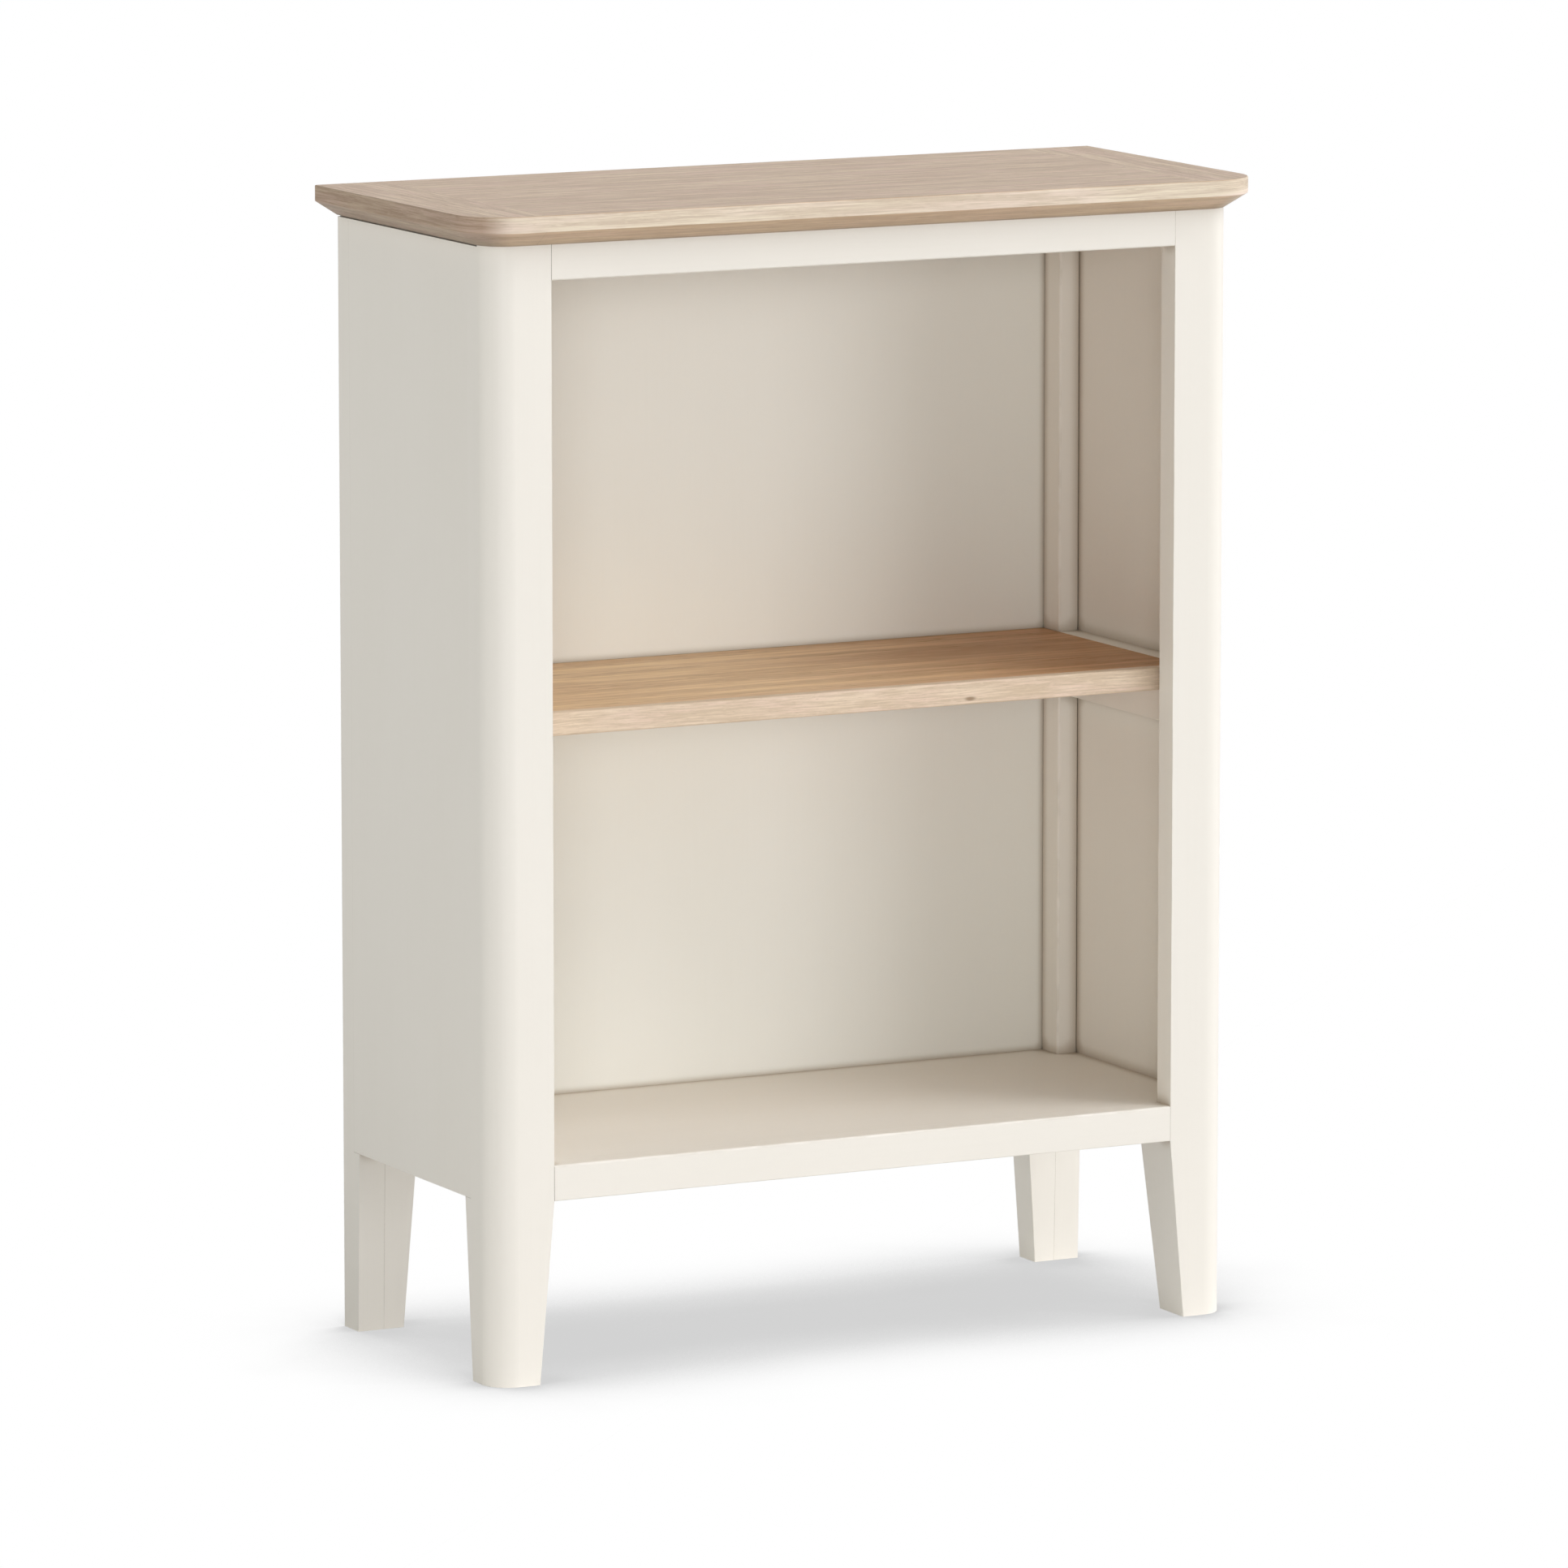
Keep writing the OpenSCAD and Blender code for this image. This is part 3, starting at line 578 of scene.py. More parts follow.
def oak_figure():
    """Group for ring-porous wood: growth rings, fibres, pores and ray flecks along the first axis."""
    wiring, given, made = new_group(
        "oak_figure",
        {"Grain": "vector", "Pith": "vector", "Ring": "value", "Figure": "value",
         "Late": "colour", "Early": "colour", "Blush": "colour", "Pore": "colour"},
        {"Color": "colour", "Roughness": "value", "Height": "value"})
    grain = given["Grain"]

    def feature(name, detail=2.0, roughness=0.5, output="Fac"):
        return wiring.noise(grain, OAK_FEATURES[name], detail, roughness, output)

    # Growth rings round a pith that sways
    sway = wiring.vector("SUBTRACT", feature("sway", output="Color"), (0.5, 0.5, 0.5))
    sway = wiring.vector("MULTIPLY", sway, (0.0, 0.034, 0.034))
    across = wiring.vector("SUBTRACT", wiring.vector("ADD", grain, sway), given["Pith"])
    across = wiring.length(wiring.vector("MULTIPLY", across, (0.0, 1.0, 1.0)))
    across = wiring.math("ADD", across, wiring.math("MULTIPLY", feature("uneven", 1.0), 0.006))
    phase = wiring.math("FRACT", wiring.math("DIVIDE", across, given["Ring"]))
    early = wiring.math("MULTIPLY", wiring.ramp(phase, 0.0, 0.12), wiring.ramp(phase, 0.70, 0.16))
    # Pores, which crowd in the early wood
    crowd = wiring.math("ADD", wiring.math("MULTIPLY", early, 0.7), 0.3)
    pores = wiring.math("MULTIPLY", wiring.ramp(feature("dash", 1.0), 0.58, 0.70), crowd)
    # Tone, from the rings down to the fibres
    fibre = feature("fibre", 3.0, 0.6)
    depth = wiring.math("MULTIPLY", early, given["Figure"])
    depth = wiring.math("ADD", depth, wiring.ramp(feature("streak", 2.0, 0.55), 0.34, 0.66, -0.14, 0.56))
    depth = wiring.math("ADD", depth, wiring.ramp(fibre, 0.36, 0.66, -0.14, 0.56))
    depth = wiring.math("ADD", depth, wiring.ramp(feature("broad", 3.0, 0.55), 0.30, 0.70, -0.12, 0.40))
    pale = wiring.mix(wiring.ramp(feature("patch"), 0.40, 0.66), given["Late"], given["Blush"])
    wood = wiring.mix(depth, pale, given["Early"])
    wood = wiring.mix(wiring.ramp(feature("fleck", 1.0), 0.60, 0.74, 0.0, 0.35), wood, pale)
    wood = wiring.mix(wiring.math("MULTIPLY", pores, 0.4), wood, given["Pore"])
    wiring.join(wood, made["Color"])
    dull = wiring.math("ADD", wiring.math("MULTIPLY", pores, 0.22), 0.40)
    wiring.join(wiring.math("ADD", dull, wiring.math("MULTIPLY", fibre, 0.10)), made["Roughness"])
    wiring.join(wiring.math("SUBTRACT", wiring.math("MULTIPLY", fibre, 0.35), pores), made["Height"])
    return wiring.tree


def rubbed_edges():
    """Group for the patchy rubbing of a finish along marked edges."""
    wiring, given, made = new_group(
        "rubbed_edges", {"Grain": "vector", "Edge": "value", "Amount": "value"}, {"Mask": "value"})
    patches = wiring.noise(given["Grain"], PAINT_FEATURES["rub"], 3.0, 0.6)
    mask = wiring.math("MULTIPLY", wiring.ramp(patches, 0.42, 0.62), given["Edge"])
    wiring.join(wiring.math("MULTIPLY", mask, given["Amount"]), made["Mask"])
    return wiring.tree


def satin_paint():
    """Group for sprayed satin paint over wood: faint grain, orange peel and clouding."""
    wiring, given, made = new_group(
        "satin_paint", {"Grain": "vector", "Paint": "colour", "Shade": "colour"},
        {"Color": "colour", "Roughness": "value", "Height": "value"})
    strokes = wiring.noise(given["Grain"], PAINT_FEATURES["stroke"], 3.0, 0.55)
    peel = wiring.noise(given["Grain"], PAINT_FEATURES["peel"])
    cloud = wiring.noise(given["Grain"], PAINT_FEATURES["cloud"])
    thin = wiring.math("ADD", wiring.ramp(strokes, 0.45, 0.75, 0.0, 0.16),
                       wiring.ramp(cloud, 0.35, 0.70, 0.0, 0.26))
    wiring.join(wiring.mix(thin, given["Paint"], given["Shade"]), made["Color"])
    gloss = wiring.math("ADD", wiring.ramp(peel, 0.30, 0.70, 0.0, 0.08),
                        wiring.ramp(cloud, 0.30, 0.70, 0.36, 0.44))
    wiring.join(gloss, made["Roughness"])
    height = wiring.math("ADD", wiring.math("MULTIPLY", strokes, 0.6), wiring.math("MULTIPLY", peel, 0.4))
    wiring.join(height, made["Height"])
    return wiring.tree


def corner_shade():
    """Group that paints shade into inside corners above the floor, and deeper shade into narrow gaps."""
    wiring, given, made = new_group(
        "corner_shade",
        {"Tone": "colour", "Openness": "value", "Reach": "value", "Dirt": "colour", "Gap": "colour"},
        {"Color": "colour"})
    start = wiring.math("MULTIPLY", given["Reach"], 0.5)
    end = wiring.math("MULTIPLY", given["Reach"], 2.0)
    lifted = wiring.ramp(wiring.place_along("Z"), start, end, 0.0, 0.8)
    # Painted shade in inside corners, and deeper painted shade in narrow gaps
    corner = wiring.math("MULTIPLY", wiring.ramp(given["Openness"], 0.45, 0.95, 1.0, 0.0), lifted)
    gap = wiring.math("MULTIPLY", wiring.ramp(given["Openness"], 0.14, 0.42, 1.0, 0.0), lifted)
    shaded = wiring.mix(corner, given["Tone"], given["Dirt"], "MULTIPLY")
    wiring.join(wiring.mix(gap, shaded, given["Gap"]), made["Color"])
    return wiring.tree


def wire_up(owner):
    """Clears the nodes of a material or a world and returns its wiring."""
    owner.use_nodes = True
    owner.node_tree.nodes.clear()
    return Wiring(owner.node_tree)


def finish(name, build, *given, **more):
    """Material of this name, built the first time that it is asked for."""
    return bpy.data.materials.get(name) or build(name, *given, **more)


def new_material(name):
    """Starts a material and returns it with its wiring and its shader."""
    material = bpy.data.materials.new(name)
    wiring = wire_up(material)
    shader = wiring.add("ShaderNodeBsdfPrincipled")
    wiring.add("ShaderNodeOutputMaterial", {"Surface": shader.outputs["BSDF"]})
    return material, wiring, shader


def shade_corners(wiring, surface, shade_tone, reach):
    """Paints shade into a surface's colour by how open each place is, which the material itself measures."""
    gap = bpy.context.scene.bookcase_finishes.gap
    return wiring.group(corner_shade, {
        "Tone": surface, "Openness": wiring.openness(reach, CORNER_RAYS), "Reach": reach,
        "Dirt": opaque(shade_tone), "Gap": opaque(gap)})["Color"]


def feed(wiring, shader, surface, roughness, height, relief, depth):
    """Feeds a shader its colour, its roughness and the relief of its surface."""
    bump = wiring.add("ShaderNodeBump", {"Height": height, "Strength": relief, "Distance": depth})
    wiring.join(surface, shader.inputs["Base Color"])
    wiring.join(roughness, shader.inputs["Roughness"])
    wiring.join(bump.outputs["Normal"], shader.inputs["Normal"])


def wood_tones(wood):
    """Colours of a wood by their names in the oak group."""
    finishes = bpy.context.scene.bookcase_finishes
    return {part: opaque(getattr(finishes, f"{wood}_{part.lower()}"))
            for part in ("Late", "Early", "Blush", "Pore")}


def oak_material(name, wood, cut, knot=None, heart=False, tinted=False):
    """Lacquered oak whose rings lie round a pith given in wood coordinates."""
    finishes = bpy.context.scene.bookcase_finishes
    material, wiring, shader = new_material(name)
    tones = wood_tones(wood)
    grain = wiring.vector("MULTIPLY", wiring.attribute("grain", "Vector"), (cut.scale,) * 3)
    grown = wiring.group(oak_figure, {
        "Grain": grain, "Pith": cut.pith, "Ring": cut.ring, "Figure": cut.figure, **tones})
    edge = wiring.attribute("arris", "Fac")
    worn = wiring.group(rubbed_edges, {"Grain": grain, "Edge": edge, "Amount": 0.35})
    surface = wiring.mix(worn["Mask"], grown["Color"], tones["Early"])
    # Painted light and shade on the top's edges, where the figure also shows less
    if tinted:
        plain = [0.45 * late + 0.55 * early for late, early in zip(tones["Late"], tones["Early"])]
        surface = wiring.mix(wiring.attribute("tint", "Alpha"), plain, surface)
        surface = wiring.mix(1.0, surface, wiring.attribute("tint", "Color"), "MULTIPLY")
    # Darker towards the shelf's right end: partly heartwood, partly painted shade from the right stile and
    # side
    if heart:
        drift = wiring.math("MULTIPLY", wiring.noise(grain, OAK_FEATURES["heart"]), 0.22)
        along = wiring.math("ADD", wiring.place_along("X"), drift)
        inside = wiring.ramp(along, finishes.heart_start, finishes.heart_end)
        surface = wiring.mix(inside, surface, opaque(finishes.heart), "MULTIPLY")
    if knot:
        apart = wiring.vector("SUBTRACT", wiring.place(), knot)
        apart = wiring.length(wiring.vector("MULTIPLY", apart, (0.38, 0.3, 1.1)))
        surface = wiring.mix(wiring.ramp(apart, 2.6 * MM, 0.6 * MM), surface, opaque(finishes.knot))
    # Painted shade in the oak's inside corners and gaps
    surface = shade_corners(wiring, surface, finishes.oak_dirt, finishes.oak_reach)
    feed(wiring, shader, surface, grown["Roughness"], grown["Height"], relief=0.35, depth=0.12 * MM)
    shader.inputs["IOR"].default_value = LACQUER_IOR
    return material


def top_oak():
    """Oak of the top, with its edges toned apart."""
    return finish("top_oak", oak_material, "oak", TOP_CUT, tinted=True)


def paint_material(name):
    """Satin off-white paint of the case, or a paler, cooler copy of it on the back that paints light into
    the shaded inside of the case.
    """
    finishes = bpy.context.scene.bookcase_finishes
    full, thin, reach = finishes.paint, finishes.paint_shade, finishes.paint_reach
    # The back takes the paler copy of the paint, as painted light on the shaded inside
    if name == "back_paint":
        full, thin, reach = finishes.back_paint, finishes.back_shade, finishes.back_reach
    material, wiring, shader = new_material(name)
    grain = wiring.attribute("grain", "Vector")
    edge = wiring.attribute("arris", "Fac")
    coat = wiring.group(satin_paint, {"Grain": grain, "Paint": opaque(full), "Shade": opaque(thin)})
    worn = wiring.group(rubbed_edges, {"Grain": grain, "Edge": edge, "Amount": 0.5})
    surface = wiring.mix(worn["Mask"], coat["Color"], opaque(finishes.paint_worn))
    # Painted shade in the paint's inside corners and gaps
    surface = shade_corners(wiring, surface, finishes.paint_dirt, reach)
    feed(wiring, shader, surface, coat["Roughness"], coat["Height"], relief=0.18, depth=0.08 * MM)
    shader.inputs["IOR"].default_value = PAINT_IOR
    return material


def beech_material(name):
    """Plain turned beech of the dowels, read from the object's own place."""
    material, wiring, shader = new_material(name)
    grown = wiring.group(oak_figure, {
        "Grain": wiring.place(), "Pith": DOWEL_CUT.pith, "Ring": DOWEL_CUT.ring,
        "Figure": DOWEL_CUT.figure, **wood_tones("beech")})
    wiring.join(grown["Color"], shader.inputs["Base Color"])
    wiring.join(grown["Roughness"], shader.inputs["Roughness"])
    return material


def zinc_material(name):
    """Dulled zinc plating of the screws."""
    finishes = bpy.context.scene.bookcase_finishes
    material, wiring, shader = new_material(name)
    here = wiring.place()
    scuff = wiring.noise(here, (0.0009, 0.0004, 0.0009))
    dull = wiring.ramp(wiring.noise(here, (0.004, 0.004, 0.004), 3.0, 0.6), 0.40, 0.65)
    surface = wiring.mix(dull, opaque(finishes.steel), opaque(finishes.steel_dull))
    rough = wiring.math("ADD", wiring.math("MULTIPLY", scuff, 0.2), wiring.ramp(dull, 0, 1, 0.2, 0.34))
    feed(wiring, shader, surface, rough, scuff, relief=0.2, depth=0.05 * MM)
    shader.inputs["Metallic"].default_value = 1.0
    return material


# Pieces


def side_of(node):
    """Sign of the side that a left or right piece stands on."""
    return 1 if node.endswith("_right") else -1


def ways(node):
    """Ways that a left or right piece looks outwards and inwards."""
    return ("+x", "-x") if side_of(node) > 0 else ("-x", "+x")


def outer_x(node):
    """Place of the outer side of a left or right piece."""
    low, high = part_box(node)
    return high.x if side_of(node) > 0 else low.x


def inner_x(node):
    """Place of the inner side of a left or right piece."""
    low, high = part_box(node)
    return low.x if side_of(node) > 0 else high.x


def taper(bench, node, *looks):
    """Draws the sides of a leg that look the given ways in to its foot, from the leg's top down."""
    box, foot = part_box(node), foot_box(node)
    bench.cut(LEG_TOP)
    for sign, axis in looks:
        end, index = "-+".index(sign), "xyz".index(axis)
        by = Vector()
        by[index] = foot[end][index] - box[end][index]
        bench.shift(at(**{axis: box[end][index], "z": box[0].z}), by)


def paint(piece, node, coat="satin_paint"):
    """Paints a piece along its grain and puts it in the place of its CAD node."""
    lay_grain(piece, node)
    complete(piece, node, finish(coat, paint_material))


def add_painted(node, *eases, copied=False, coat="satin_paint"):
    """Models a painted piece from a board or from its CAD node, with its edges eased in turn."""
    name = "painted_" + node
    piece = copy_node(name, node) if copied else add_board(name, *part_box(node))
    with Bench(piece) as bench:
        for ease in eases:
            bench.ease(*ease)
    paint(piece, node, coat)


def chamfer_edges(edge):
    """Test for the blunt edge where the top's square edge turns into its under-chamfer."""
    if len(edge.link_faces) != 2:
        return False
    heights = sorted(face.normal.z for face in edge.link_faces)
    return abs(heights[1]) < 0.2 and -0.95 < heights[0] < -0.3


def tint_edges(piece, front, under, side):
    """Writes the light and shade painted on the top's front edge, chamfer and side, with the share of figure
    they show.
    """
    mesh = piece.data
    tint = mesh.attributes.new("tint", "FLOAT_COLOR", "CORNER")
    for face in mesh.polygons:
        level = math.hypot(face.normal.x, face.normal.y)
        for index in face.loop_indices:
            normal = mesh.corner_normals[index].vector
            rgb, figure = (1, 1, 1), 1.0
            if level > 0.4 and normal.y < 0.5:
                turned = abs(normal.x) / math.hypot(normal.x, normal.y)
                turned = min(max((turned - 0.25) / 0.5, 0), 1)
                ahead = front if level > 0.9 else under
                rgb = [a + (b - a) * turned for a, b in zip(ahead, side)]
                figure = 0.68 + 0.32 * turned
            tint.data[index].color = (*rgb, figure)


def lay_edge_grain(piece, node, sizes):
    """Writes wood coordinates to an end board: grain front to back, and round its outer edge."""
    side = side_of(node)
    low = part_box(node)[0]
    radius = sizes.top_corner
    centre = Vector((outer_x(node) - side * radius, low.y + radius, 0))
    flat_start = grain_start(BOARDS[node][1])
    edge_start = grain_start(BOARDS["top_panel"][1])
    mesh = piece.data
    grain = mesh.attributes.new("grain", "FLOAT_VECTOR", "CORNER")
    for face in mesh.polygons:
        flat = abs(face.normal.z) > 0.97 or face.normal.x * side < -0.9 or face.normal.y > 0.9
        for index in face.loop_indices:
            co = mesh.vertices[mesh.loops[index].vertex_index].co
            along, across, start = co.y, co.x, flat_start
            if not flat:
                off_x, off_y = (co.x - centre.x) * side, centre.y - co.y
                past_x, past_y = max(off_x, 0), max(off_y, 0)
                turned = math.atan2(past_x, past_y) if max(off_x, off_y) > 0 else 0
                along = centre.x + side * (radius * turned + min(off_x, 0) - min(off_y, 0))
                across = low.y + radius - math.hypot(past_x, past_y)
                start = edge_start
            grain.data[index].vector = (along + start[0], across + start[1], co.z * EDGE_SQUEEZE)


class BOOKCASE_OT_oak_top(bpy.types.Operator):
    """Models the oak top: the panel and its two cross-grained end boards"""

    bl_idname = "bookcase.oak_top"
    bl_label = "Oak top"

    def execute(self, context):
        sizes = context.scene.bookcase_sizes
        finishes = context.scene.bookcase_finishes
        low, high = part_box("top_panel")
        joint_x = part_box("top_end_right")[0].x
        low.x, high.x = -joint_x, joint_x
        chamfer_z = high.z - sizes.edge_h
        chamfer_in = OVERHANG - sizes.chamfer_rim
        panel = add_board("oak_top_panel", low, high)
        with Bench(panel) as bench:
            bench.cut(chamfer_z)
            bench.shift(at(y=low.y, z=low.z), (0, chamfer_in, 0))
            bench.ease(between("-y+z", "+y+z", "+y-z"), sizes.top_arris, 3)
            bench.ease(chamfer_edges, sizes.seam)
        lay_grain(panel, "top_panel", EDGE_SQUEEZE)
        complete(panel, "top_panel", top_oak())
        tint_edges(panel, finishes.edge_front, finishes.edge_under, finishes.edge_side)
        for node in ("top_end_left", "top_end_right"):
            self.end_board(node, sizes, finishes, chamfer_z, chamfer_in)
        return {"FINISHED"}

    def end_board(self, node, sizes, finishes, chamfer_z, chamfer_in):
        """Models one end board, with the chamfer turning round its front corner as a cone."""
        side = side_of(node)
        low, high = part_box(node)
        radius = sizes.top_corner
        centre_x, centre_y = outer_x(node) - side * radius, low.y + radius
        board = add_board("oak_" + node, low, high)

        def under_corner(vert):
            beyond = (vert.co.x - centre_x) * side > -ON_PLANE
            return beyond and vert.co.y < centre_y + ON_PLANE and vert.co.z < low.z + ON_PLANE

        def upper_rim(edge):
            normals = [face.normal for face in edge.link_faces]
            lifted = max(normal.z for normal in normals) > 0.99
            upright = min(normals, key=lambda normal: normal.z)
            return lifted and abs(upright.z) < 0.1 and upright.x * side > -0.5

        with Bench(board) as bench:
            bench.round(between(ways(node)[0] + "-y"), radius, TOP_CORNER_STEPS)
            bench.cut(chamfer_z)
            bench.pick("VERT", under_corner)
            shrink = (radius - chamfer_in) / radius
            bpy.ops.transform.resize(value=(shrink, shrink, 1), center_override=(centre_x, centre_y, low.z))
            bench.shift(at(x=inner_x(node), y=low.y, z=low.z), (0, chamfer_in, 0))
            bench.shift(at(x=outer_x(node), y=high.y, z=low.z), (-side * chamfer_in, 0, 0))
            bench.ease(upper_rim, sizes.top_arris, 3)
            bench.ease(chamfer_edges, sizes.seam)
        lay_edge_grain(board, node, sizes)
        complete(board, node, top_oak())
        # Painted light: the left corner takes the sides' painted shade, the right corner the front edge's
        # painted light, as the lamps fall from the right
        corner_light = finishes.edge_side if side < 0 else finishes.edge_front
        tint_edges(board, finishes.edge_front, finishes.edge_under, corner_light)


class BOOKCASE_OT_oak_shelf(bpy.types.Operator):
    """Models the oak shelf and its straight-grained front lipping"""

    bl_idname = "bookcase.oak_shelf"
    bl_label = "Oak shelf"

    def execute(self, context):
        sizes = context.scene.bookcase_sizes
        finishes = context.scene.bookcase_finishes
        board = add_board("oak_shelf_board", *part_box("shelf_board"))
        with Bench(board) as bench:
            bench.ease(between("+x+z", "-x+z", "+x-z", "-x-z", "+y+z", "+y-z"), sizes.seam)
            bench.ease(between("-y+z", "-y-z"), sizes.hairline)
        lay_grain(board, "shelf_board")
        oak = finish("shelf_oak", oak_material, "shelf", SHELF_CUT, heart=True)
        complete(board, "shelf_board", oak)
        low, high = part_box("shelf_lipping")
        lipping = add_board("oak_shelf_lipping", low, high)
        with Bench(lipping) as bench:
            bench.ease(between("-y+z", "-y-z"), sizes.lipping_round, 4)
            bench.ease(between("+x-y", "-x-y"), sizes.seam)
            bench.ease(between("+y+z", "+y-z"), sizes.hairline)
        lay_grain(lipping, "shelf_lipping")
        knot = (finishes.knot_x, low.y, low.z + finishes.knot_z)
        oak = finish("lipping_oak", oak_material, "lipping", LIPPING_CUT, knot)
        complete(lipping, "shelf_lipping", oak)
        return {"FINISHED"}


class BOOKCASE_OT_front_frame(bpy.types.Operator):
    """Models the front frame: two round-cornered stiles that run down into legs, and two rails"""

    bl_idname = "bookcase.front_frame"
    bl_label = "Front frame"

    def execute(self, context):
        sizes = context.scene.bookcase_sizes
        for node in ("front_stile_left", "front_stile_right"):
            self.stile(node, sizes)
        ends = (between("+x-y", "-x-y"), sizes.seam)
        add_painted("front_top_rail", (between("+y-z"), sizes.arris * 2, 3), ends, copied=True)
        add_painted(
            "front_bottom_rail", (between("-y+z"), sizes.rail_round, 5),
            (between("-y-z", "+y-z"), sizes.arris, 3), (between("+y+z"), sizes.seam), ends)
        return {"FINISHED"}

    def stile(self, node, sizes):
        """Models one stile, with its leg tapering inside below the case."""
        outer, inner = ways(node)
        stile = add_board("painted_" + node, *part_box(node))
        with Bench(stile) as bench:
            taper(bench, node, inner)
            bench.round(between(outer + "-y"), sizes.stile_round, STILE_ROUND_STEPS)
            behind = both(between(inner + "+y"), above(LEG_TOP - ON_PLANE))
            bench.ease(either(between(inner + "-y"), behind), sizes.arris)
            bench.ease(at_zero, sizes.arris)
        paint(stile, node)


class BOOKCASE_OT_corner_posts(bpy.types.Operator):
    """Models the corner posts with their rebates and tapers, and the blocks that widen the legs"""

    bl_idname = "bookcase.corner_posts"
    bl_label = "Corner posts"

    def execute(self, context):
        sizes = context.scene.bookcase_sizes
        for side in ("left", "right"):
            self.front_post("front_post_" + side, "side_panel_" + side, sizes)
            self.rear_post("rear_post_" + side, "side_panel_" + side, sizes)
            self.front_block("front_leg_block_" + side, sizes)
            self.rear_block("rear_leg_block_" + side, sizes)
        return {"FINISHED"}

    def add_post(self, node, look, panels, sizes):
        """Adds a post whose leg tapers on one side, rebated for its panels and with the shadow gap."""
        post = add_board("painted_" + node, *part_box(node))
        with Bench(post) as bench:
            taper(bench, node, look)
            bench.cut(LEG_SEAM)
        for panel in panels:
            self.rebate(post, panel)
        carve_shadow_gap(post, node, sizes)
        return post

    def rebate(self, post, panel):
        """Cuts the place of a panel out of a post, a little past the post's open faces."""
        low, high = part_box(panel)
        if panel == "side_panel_left":
            low.x -= SPARE
        elif panel == "side_panel_right":
            high.x += SPARE
        else:
            high.y += SPARE
        high.z += SPARE
        carve(post, low, high)

    def front_post(self, node, panel, sizes):
        """Models one front post: tapered behind, and rebated for the side panel."""
        outer, inner = ways(node)
        post = self.add_post(node, "+y", (panel,), sizes)
        with Bench(post) as bench:
            bench.ease(both(between(inner + "+y"), above(LEG_TOP + MM)), sizes.post_round, 4)
            bench.ease(both(between(outer + "+y"), below(LEG_TOP + MM)), sizes.arris)
            bench.ease(at_zero, sizes.seam)
        paint(post, node)

    def rear_post(self, node, panel, sizes):
        """Models one rear post: tapered in front, and rebated for the side panel and the back."""
        outer, inner = ways(node)
        post = self.add_post(node, "-y", (panel, "back_panel"), sizes)
        panel_x = inner_x(panel)
        upper, leg = above(LEG_TOP + MM), below(LEG_SEAM + MM)

        def by_panel(edge):
            return abs(edge.verts[0].co.x - panel_x) < ON_PLANE

        with Bench(post) as bench:
            bench.ease(both(between(inner + "-y"), upper), sizes.post_round, 4)
            seams = either(both(between(outer + "-y"), by_panel), between(inner + "+y"))
            bench.ease(both(upper, seams), sizes.post_seam, 3)
            bench.ease(both(between(inner + "-y"), leg), sizes.seam)
            bench.ease(both(between(outer + "-y"), leg), sizes.arris)
            bench.ease(between(outer + "+y"), sizes.arris)
            bench.ease(at_zero, sizes.seam)
        paint(post, node)

    def front_block(self, node, sizes):
        """Models the block behind a front stile that makes up the leg's depth."""
        outer, inner = ways(node)
        block = add_board("painted_" + node, *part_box(node))
        with Bench(block) as bench:
            taper(bench, node, inner, "+y")
            bench.ease(between(inner + "+y"), sizes.arris)
            bench.ease(between(outer + "+y"), sizes.hairline)
            bench.ease(at_zero, sizes.seam)
        paint(block, node)

    def rear_block(self, node, sizes):
        """Models the block beside a rear post that makes up the leg's width."""
        outer, inner = ways(node)
        low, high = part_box(node)
        block = add_board("painted_" + node, low, high)
        with Bench(block) as bench:
            taper(bench, node, inner, "-y")
        low.x, low.y, low.z = low.x - SPARE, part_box("back_panel")[0].y, LEG_TOP
        carve(block, low, high + Vector((SPARE, SPARE, SPARE)))
        with Bench(block) as bench:
            bench.ease(between(inner + "-y", inner + "+y"), sizes.arris)
            bench.ease(between(outer + "-y"), sizes.seam)
            bench.ease(between(outer + "+y"), sizes.hairline)
            bench.ease(at_zero, sizes.seam)
        paint(block, node)


class BOOKCASE_OT_side_frames(bpy.types.Operator):
    """Models the thin side panels, the rails behind them and the shelf's bearers"""

    bl_idname = "bookcase.side_frames"
    bl_label = "Side frames"

    def execute(self, context):
        sizes = context.scene.bookcase_sizes
        for side in ("left", "right"):
            node = "side_panel_" + side
            outer, inner = ways(node)
            panel = add_board("painted_" + node, *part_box(node))
            carve_shadow_gap(panel, node, sizes)
            with Bench(panel) as bench:
                bench.ease(between(outer + "-z"), sizes.seam * 2, 3)
                bench.ease(between(inner + "-z"), sizes.seam)
                bench.ease(between(outer + "-y", outer + "+y"), sizes.hairline)
            paint(panel, node)
            for rail in ("side_top_rail_", "side_bottom_rail_"):
                add_painted(rail + side, (between(inner + "-z"), sizes.arris, 3), copied=True)
            add_painted(
                "shelf_bearer_" + side, (between(inner + "-z", inner + "+z"), sizes.arris, 3),
                (between(inner + "-y", inner + "+y"), sizes.seam))
        return {"FINISHED"}


class BOOKCASE_OT_base_and_back(bpy.types.Operator):
    """Models the notched base panel, the thin back and the rear rails"""

    bl_idname = "bookcase.base_and_back"
    bl_label = "Base and back"

    def execute(self, context):
        sizes = context.scene.bookcase_sizes
        add_painted("base_panel", (between("-y+z"), sizes.seam), copied=True)
        back_edges = between("+y+z", "+y-z", "+x+y", "-x+y", "-y-z")
        add_painted("back_panel", (back_edges, sizes.seam), copied=True, coat="back_paint")
        for rail in ("rear_top_rail", "rear_bottom_rail"):
            add_painted(rail, (between("-y-z"), sizes.arris), copied=True)
        return {"FINISHED"}


